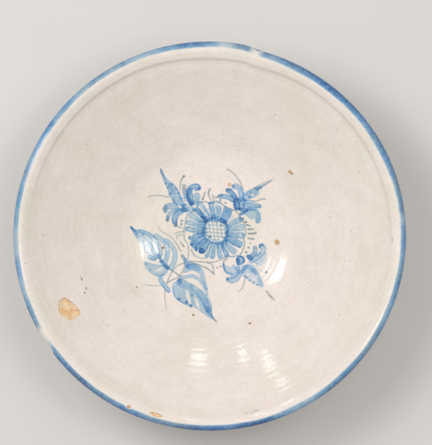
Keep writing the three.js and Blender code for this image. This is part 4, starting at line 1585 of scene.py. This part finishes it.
@dataclass
class InsideGlaze(TurnedPiece):
    """The glaze inside the bowl, from the middle of the floor to the lip's crest, with the flower in it."""

    turns: int = 240
    step: float = 1.9 * MM
    lip_step: float = 0.7 * MM
    painted_step: float = 0.56 * MM
    painted_margin: float = 1.1 * MM
    most_splits: int = 4
    ridge_depth: float = 0.036 * MM
    ridge_spacing: float = 11 * MM
    pit_depth: float = 0.22 * MM
    hollow_depth: float = 0.5 * MM
    hollow_from: float = 8 * MM
    hollow_deepest: float = 2.6 * MM
    fill_from: float = 5.5 * MM
    fill_to: float = 2 * MM
    hollow_direction: float = 80
    hollow_within: float = 45
    filled_beyond: float = 100
    flower: PaintedFlower = PaintedFlower()
    marks: GlazeMarks = GlazeMarks()

    def shape(self) -> Solid:
        """Turns the coat, makes it finer under the paint, and gives it its relief, colours and breaks."""
        line = self.form.inside_line(self.step, self.lip_step)
        coarse = self.form.inside_line(4 * self.step, 3 * self.lip_step)
        under = sunk(coarse, self.form.glaze_thickness)[::-1]
        piece = turned(self.name, np.vstack([line, under]), self.turns)
        painter = Painter(self.view)
        self.refine(piece, painter)
        places = points_of(piece)
        radius = radius_of(places)
        on_top = np.abs(places[:, 2] - self.form.height_at(radius)) < 0.4 * self.form.glaze_thickness
        on_wall = on_top & (radius < self.form.crease_radius - 0.2 * MM)
        places[on_wall, 2] = self.form.height_at(radius[on_wall])
        self.paint(piece, painter, places, on_top)
        pit = np.zeros(len(places))
        piece.data.attributes["pit"].data.foreach_get("value", pit)
        rise = self.ridges(places, self.ridge_depth, self.ridge_spacing) + self.corner(places)
        rise -= self.pit_depth * smoothstep(pit, 0.2, 0.8)
        places[on_top, 2] += rise[on_top]
        move_points(piece, self.form.pull_out_of_round(places))
        cutters = [self.breakage.chip_cutter(chip, self.breakage.setback) for chip in self.breakage.chips]
        self.breakage.cut(piece, [*cutters, self.breakage.scar_cutter()])
        self.unfold(piece)
        return piece

    def corner(self, places: Array) -> Array:
        """How far the glaze under the lip lies above the plain form.

        On the photo's upper side it is hollow and lies below. Elsewhere it ran together in the crease.

        Args:
            places: The coat's points, one per row.

        Returns:
            The height to add at each point.
        """
        radius = radius_of(places)
        direction = np.degrees(np.arctan2(places[:, 1], places[:, 0]))
        crease = self.form.crease_radius
        deepest = crease - self.hollow_deepest
        hollow = smoothstep(radius, crease - self.hollow_from, deepest)
        hollow *= 1.0 - smoothstep(radius, deepest, crease)
        ends = np.array((crease - self.fill_from, crease + self.fill_to))
        chord = np.interp(radius, ends, self.form.height_at(ends), left=0.0, right=0.0)
        away = angle_between(direction, self.hollow_direction)
        filled = smoothstep(away, self.hollow_within, self.filled_beyond)
        return np.maximum(chord - places[:, 2], 0.0) * filled - self.hollow_depth * hollow * (1.0 - filled)

    def refine(self, piece: Solid, painter: Painter) -> None:
        """Splits the long edges under the paint and the marks, until they are short enough to show them."""
        strokes = [*self.flower.washes(), *self.marks.rust(), *self.marks.pits()]
        choose(piece)
        bpy.ops.object.mode_set(mode="EDIT")
        bpy.ops.mesh.select_mode(type="EDGE")
        for _ in range(self.most_splits):
            bpy.ops.mesh.select_all(action="DESELECT")
            mesh = bmesh.from_edit_mesh(piece.data)
            ends = np.array([[*edge.verts[0].co, *edge.verts[1].co] for edge in mesh.edges])
            first, last = ends[:, :3], ends[:, 3:]
            middle = (first + last) / 2
            top = self.form.height_at(radius_of(middle)) - middle[:, 2]
            long = (np.linalg.norm(last - first, axis=1) > self.painted_step) & (top < 0.5 * MM)
            chosen = np.flatnonzero(long)
            chosen = chosen[painter.reached(strokes, middle[chosen, :2], self.painted_margin)]
            if not len(chosen):
                break
            mesh.edges.ensure_lookup_table()
            for index in chosen:
                mesh.edges[index].select_set(True)
            bmesh.update_edit_mesh(piece.data)
            bpy.ops.mesh.subdivide(number_cuts=1, smoothness=0.0, ngon=False, quadcorner="INNERVERT")
        bpy.ops.mesh.select_mode(type="VERT")
        bpy.ops.object.mode_set(mode="OBJECT")

    def paint(self, piece: Solid, painter: Painter, places: Array, on_top: Array) -> None:
        """Lays the flower, the edge's wash, the rust and the pinholes on the coat's upper side."""
        seen = places[on_top, :2]
        blue, grey = painter.laid(self.flower.washes(), seen, 0.42)
        bare, _ = painter.laid(self.flower.bare(), seen, 0.0)
        blue = blue * (1.0 - 0.9 * smoothstep(bare, 0.1, 0.75))
        blue = np.maximum(blue, EdgeBand(self.form).strength(places[on_top]))
        rust, _ = painter.laid(self.marks.rust(), seen, 0.0)
        pit, _ = painter.laid(self.marks.pits(), seen, 0.0)
        for name, values in (("cobalt", blue), ("slate", grey), ("rust", rust), ("pit", pit)):
            all_values = np.zeros(len(places))
            all_values[on_top] = values
            paint_points(piece, name, all_values)

    def unfold(self, piece: Solid) -> None:
        """Lays the upper side out flat from above, its floor enlarged, and the hidden side in a corner."""
        mesh = piece.data
        places = points_of(piece)
        loops = np.empty(len(mesh.loops), np.int32)
        mesh.loops.foreach_get("vertex_index", loops)
        totals = np.empty(len(mesh.polygons), np.int32)
        centres = np.empty(3 * len(mesh.polygons))
        mesh.polygons.foreach_get("loop_total", totals)
        mesh.polygons.foreach_get("center", centres)
        centres = self.unpulled(centres.reshape(-1, 3))
        depth = self.form.height_at(radius_of(centres)) - centres[:, 2]
        hidden = np.repeat(depth > 0.45 * self.form.glaze_thickness, totals)
        x, y = places[loops, 0], places[loops, 1]
        radius = np.hypot(x, y)
        line = self.form.inside_line(self.step, self.lip_step)
        passed = np.concatenate([[0.0], np.cumsum(np.linalg.norm(np.diff(line, axis=0), axis=1))])
        share = np.interp(radius, line[:, 0], passed) / passed[-1]
        reach = np.where(hidden, 0.07 * share, 0.485 * share**0.75)
        middle = np.where(hidden, 0.075, 0.5)
        safe = np.where(radius > 0.0, radius, 1.0)
        flat = np.column_stack([middle + reach * x / safe, middle + reach * y / safe])
        layer = mesh.uv_layers.new(name="OFBake")
        layer.data.foreach_set("uv", flat.astype(np.float32).ravel())

    def unpulled(self, places: Array) -> Array:
        """Places on the real bowl, put back on the round form as near as is needed here."""
        shift = self.form.pull_out_of_round(places) - places
        return places - shift

    def finishes(self) -> list[bpy.types.Material]:
        """White glaze with the paint in it."""
        return [TinGlaze("tin_glaze_inside").make(), BrokenGlaze("broken_glaze_inside").make()]


@dataclass
class PaintedEdge(TurnedPiece):
    """The glaze over the lip's edge, with the blue band."""

    turns: int = 360
    step: float = 0.42 * MM

    def shape(self) -> Solid:
        """Turns the coat over the edge, paints its band and breaks the chips out of it."""
        line = self.form.edge_line(self.step)
        line = np.vstack([line[0] + 0.02 * (line[1] - line[0]), line[1:]])
        under = sunk(line, self.form.glaze_thickness)[::-1]
        piece = turned(self.name, np.vstack([line, under[::2], under[-1:], line[:1]]), self.turns)
        places = points_of(piece)
        blue = EdgeBand(self.form).strength(places)
        grey = np.array([0.22 + 0.4 * noise.noise(Vector(place) * 30.0) for place in places])
        paint_points(piece, "cobalt", blue)
        paint_points(piece, "slate", np.clip(grey, 0.0, 0.6))
        move_points(piece, self.form.pull_out_of_round(places))
        cutters = [self.breakage.chip_cutter(chip, self.breakage.setback) for chip in self.breakage.chips]
        self.breakage.cut(piece, cutters)
        return piece

    def finishes(self) -> list[bpy.types.Material]:
        """The blue band's glaze, and its breaks."""
        return [TinGlaze("tin_glaze_edge", ring_depth=0.004 * MM).make(),
                BrokenGlaze("broken_glaze_edge").make()]


@dataclass
class OutsideGlaze(TurnedPiece):
    """The glaze on the outside, down to the bare edge of the foot."""

    turns: int = 240
    step: float = 1.9 * MM
    ridge_depth: float = 0.12 * MM
    ridge_spacing: float = 13 * MM
    edge_wander: float = 2.2 * MM

    def shape(self) -> Solid:
        """Turns the outer coat, with the thrower's ridges and a lower edge that wanders."""
        line = self.form.outside_line(self.step)
        under = sunk(line, self.form.glaze_thickness)[::-1]
        piece = turned(self.name, np.vstack([line, under, line[:1]]), self.turns)
        places = points_of(piece)
        radius = radius_of(places)
        outward = self.ridges(places, self.ridge_depth, self.ridge_spacing)
        outward *= smoothstep(places[:, 2], 14 * MM, 30 * MM)
        scale = 1.0 + outward / radius
        places[:, :2] *= scale[:, None]
        low = 1.0 - smoothstep(places[:, 2], self.form.bare_foot, self.form.foot_height)
        wander = np.array([0.5 + noise.noise(Vector((place[0], place[1], 0.0)) * 55.0) for place in places])
        places[:, 2] += low * self.edge_wander * np.clip(wander, 0.0, 1.0)
        move_points(piece, self.form.pull_out_of_round(places))
        return piece

    def finishes(self) -> list[bpy.types.Material]:
        """The outer glaze, a little duller and more pitted."""
        return [TinGlaze("tin_glaze_outside", white=(230, 222, 211), gloss=0.2, peel_depth=0.025 * MM,
                         speck_share=0.55).make()]


@dataclass
class ClayBody(TurnedPiece):
    """The fired clay under the glaze, which shows in the chips, in the scar and inside the foot."""

    turns: int = 180
    step: float = 3.2 * MM
    lip_step: float = 1.1 * MM
    edge_step: float = 1 * MM
    turning_depth: float = 0.16 * MM
    turning_spacing: float = 7 * MM

    def shape(self) -> Solid:
        """Turns the clay's own section and breaks the chips out of it."""
        form = self.form
        surface = joined(form.inside_line(self.step, self.lip_step), form.edge_line(self.edge_step),
                         form.outside_line(self.step))
        clay = sunk(surface, form.clay_depth)
        clay = clay[:-1][clay[:-1, 1] > form.foot_height]
        side = form.foot_side(form.foot_height) - form.clay_depth
        inner = form.foot_radius - form.foot_ring_width - form.foot_flare
        hollow = form.curve((inner, form.foot_height), (0.0, form.foot_height + form.base_hollow), 174, 180,
                            self.step)
        piece = turned(self.name, np.vstack([clay, [(side, form.foot_height)], hollow]), self.turns)
        places = points_of(piece)
        low = places[:, 2] < form.foot_height + form.base_hollow + 0.1 * MM
        under = low & (radius_of(places) < inner)
        spiral = self.ridges(places, self.turning_depth, self.turning_spacing)
        places[under, 2] += np.abs(spiral[under])
        move_points(piece, form.pull_out_of_round(places))
        self.breakage.cut(piece, [self.breakage.chip_cutter(chip, 0.0) for chip in self.breakage.chips])
        return piece

    def finishes(self) -> list[bpy.types.Material]:
        """Fired clay, and the soiled clay of old breaks."""
        soiled = FiredEarthenware("soiled_clay", pale=(230, 207, 178), warm=(204, 170, 134), dirt_from=0.5)
        return [FiredEarthenware("fired_clay").make(), soiled.make()]


@dataclass
class FootRing(TurnedPiece):
    """The turned ring that the bowl stands on, bare and rubbed."""

    turns: int = 240
    rounding: float = 0.5 * MM
    worn_sideways: float = 0.35 * MM
    worn_upwards: float = 0.3 * MM

    def shape(self) -> Solid:
        """Turns the ring, rounds its edges and wears its foot."""
        form = self.form
        inner = form.foot_radius - form.foot_ring_width
        height, bevel = form.foot_height, form.foot_bevel
        outer = form.foot_side(height) - form.clay_depth
        line = np.array([
            (outer, height), (form.foot_side(bevel) - form.clay_depth, bevel),
            (form.foot_side(0) - form.clay_depth - bevel, 0.0), (inner + bevel, 0.0), (inner, bevel),
            (inner - form.foot_flare, height), (outer, height),
        ])
        share = np.linspace(0.0, 1.0, 6)[:-1, None]
        sides = [first + (last - first) * share for first, last in zip(line, line[1:])]
        piece = turned(self.name, np.vstack([*sides, line[-1:]]), self.turns)
        choose(piece)
        rounding = piece.modifiers.new("worn_edges", "BEVEL")
        rounding.limit_method = "ANGLE"
        rounding.angle_limit = math.radians(25)
        rounding.width = self.rounding
        rounding.segments = 3
        bpy.ops.object.modifier_apply(modifier=rounding.name)
        places = points_of(piece)
        middle = form.foot_radius - form.foot_ring_width / 2
        radius = radius_of(places)
        wear = np.array([0.5 + 0.5 * noise.noise(Vector(place) * 90.0) for place in places])
        open_side = 1.0 - smoothstep(places[:, 2], 0.6 * height, 0.95 * height)
        inward = np.sign(middle - radius) * self.worn_sideways * wear * open_side
        places[:, :2] *= (1.0 + inward / radius)[:, None]
        sole = 1.0 - smoothstep(places[:, 2], 0.0, 1.5 * MM)
        edges = smoothstep(np.abs(radius - middle), 1.6 * MM, 4.4 * MM)
        places[:, 2] += self.worn_upwards * wear**2 * sole * edges
        move_points(piece, places)
        return piece

    def finishes(self) -> list[bpy.types.Material]:
        """Rubbed bare clay."""
        rubbed = FiredEarthenware("rubbed_clay", pale=(222, 184, 134), warm=(196, 150, 104), dirt_from=0.5)
        return [rubbed.make()]


# Studio


@dataclass(frozen=True)
class Lamp:
    """A soft lamp, hung where the bowl throws its light into the photograph's view at a given pixel.

    A lamp that isn't mirrored lights the bowl but is too soft to see in the glaze.
    """

    name: str
    glint_px: Place
    distance: float
    width: float
    height: float
    power: float
    mirrored: bool = True

    def hang(self, view: PhotoView) -> None:
        """Hangs the lamp by the law of reflection, facing the bowl."""
        place = view.on_bowl([self.glint_px])[0]
        radius = math.hypot(place[0], place[1])
        step = 1 * MM
        low, high = view.form.height_at(np.array([radius - step, radius + step]))
        slope = (high - low) / (2 * step)
        normal = Vector((-slope * place[0] / radius, -slope * place[1] / radius, 1.0)).normalized()
        toward_camera = Vector(view.position - place).normalized()
        toward_lamp = 2 * normal.dot(toward_camera) * normal - toward_camera
        bpy.ops.object.light_add(type="AREA", location=Vector(place) + self.distance * toward_lamp)
        lamp = bpy.context.object
        lamp.name = lamp.data.name = self.name
        lamp.rotation_euler = toward_lamp.to_track_quat("Z", "Y").to_euler()
        lamp.data.shape = "RECTANGLE"
        lamp.data.size, lamp.data.size_y = self.width, self.height
        lamp.data.energy = self.power
        lamp.visible_camera = False
        lamp.visible_glossy = self.mirrored
        above = math.degrees(math.asin(toward_lamp.z))
        towards = math.degrees(math.atan2(toward_lamp.y, toward_lamp.x))
        log.info("%s: %.0f degrees above level, towards %.0f", self.name, above, towards)


@dataclass(frozen=True)
class Studio:
    """A pale floor, soft lamps and an even pale surround."""

    view: PhotoView
    lamps: tuple[Lamp, ...] = (
        Lamp("right_lamp", (147.5, 248.5), 1.5, 0.1, 0.11, 0.55),
        Lamp("right_fill", (147.5, 248.5), 1.5, 0.6, 0.6, 4.8, mirrored=False),
        Lamp("left_lamp", (280.0, 271.5), 1.6, 0.2, 0.2, 1.8),
        Lamp("left_fill", (280.0, 271.5), 1.6, 0.7, 0.7, 9.2, mirrored=False),
        Lamp("back_lamp_left", (197.0, 360.0), 1.9, 0.2, 0.07, 0.5),
        Lamp("back_lamp_middle", (241.6, 354.6), 1.9, 0.11, 0.07, 0.3),
        Lamp("back_lamp_right", (266.0, 361.0), 1.9, 0.12, 0.13, 0.36),
        Lamp("back_lamp_low", (276.6, 377.4), 1.9, 0.1, 0.08, 0.16),
    )
    surround: float = 0.57

    def set_up(self) -> None:
        """Makes the floor, the lamps and the world."""
        deselect_all()
        bpy.ops.mesh.primitive_plane_add(size=30.0, location=(0.0, 0.0, 0.0))
        floor = bpy.context.object
        floor.name = "studio_floor"
        bench = NodeBench("pale_floor")
        tone = bench.mixed(srgb(206, 204, 202), srgb(212, 210, 208), bench.grain(6, 3))
        bench.feed(bench.shader, {"Base Color": tone, "Roughness": 0.75})
        floor.data.materials.append(bench.material)
        for lamp in self.lamps:
            lamp.hang(self.view)
        self.make_world()
        bpy.context.scene.view_settings.view_transform = "Standard"

    def make_world(self) -> None:
        """An even surround: soft fill for the object, and a pale ground for the camera and reflections."""
        world = bpy.data.worlds.new("studio_world")
        bpy.context.scene.world = world
        world.use_nodes = True
        nodes, links = world.node_tree.nodes, world.node_tree.links
        nodes.clear()
        ray = nodes.new("ShaderNodeLightPath")
        ground = nodes.new("ShaderNodeBackground")
        ground.inputs["Color"].default_value = srgb(222, 222, 222)
        ground.inputs["Strength"].default_value = 1.0
        fill = nodes.new("ShaderNodeBackground")
        fill.inputs["Color"].default_value = srgb(250, 248, 246)
        fill.inputs["Strength"].default_value = self.surround
        mix = nodes.new("ShaderNodeMixShader")
        output = nodes.new("ShaderNodeOutputWorld")
        links.new(ray.outputs["Is Camera Ray"], mix.inputs["Fac"])
        links.new(fill.outputs["Background"], mix.inputs[1])
        links.new(ground.outputs["Background"], mix.inputs[2])
        links.new(mix.outputs["Shader"], output.inputs["Surface"])


def main() -> None:
    """Builds the bowl's pieces in order, then the studio."""
    logging.basicConfig(level=logging.INFO, format="%(name)s: %(message)s")
    form = BowlForm()
    view = PhotoView(form)
    breakage = Breakage(form)
    view.make_camera()
    for piece in (
        ClayBody(view, breakage, "fired_body", "clay_body", "clay"),
        FootRing(view, breakage, "rubbed_foot", "foot_ring", "foot_clay"),
        InsideGlaze(view, breakage, "painted_inside", "inner_glaze", "inner_glaze"),
        OutsideGlaze(view, breakage, "glazed_outside", "outer_glaze", "outer_glaze"),
        PaintedEdge(view, breakage, "painted_edge", "rim_band", "painted_rim"),
    ):
        piece.build()
    Studio(view).set_up()


if __name__ == "__main__":
    main()
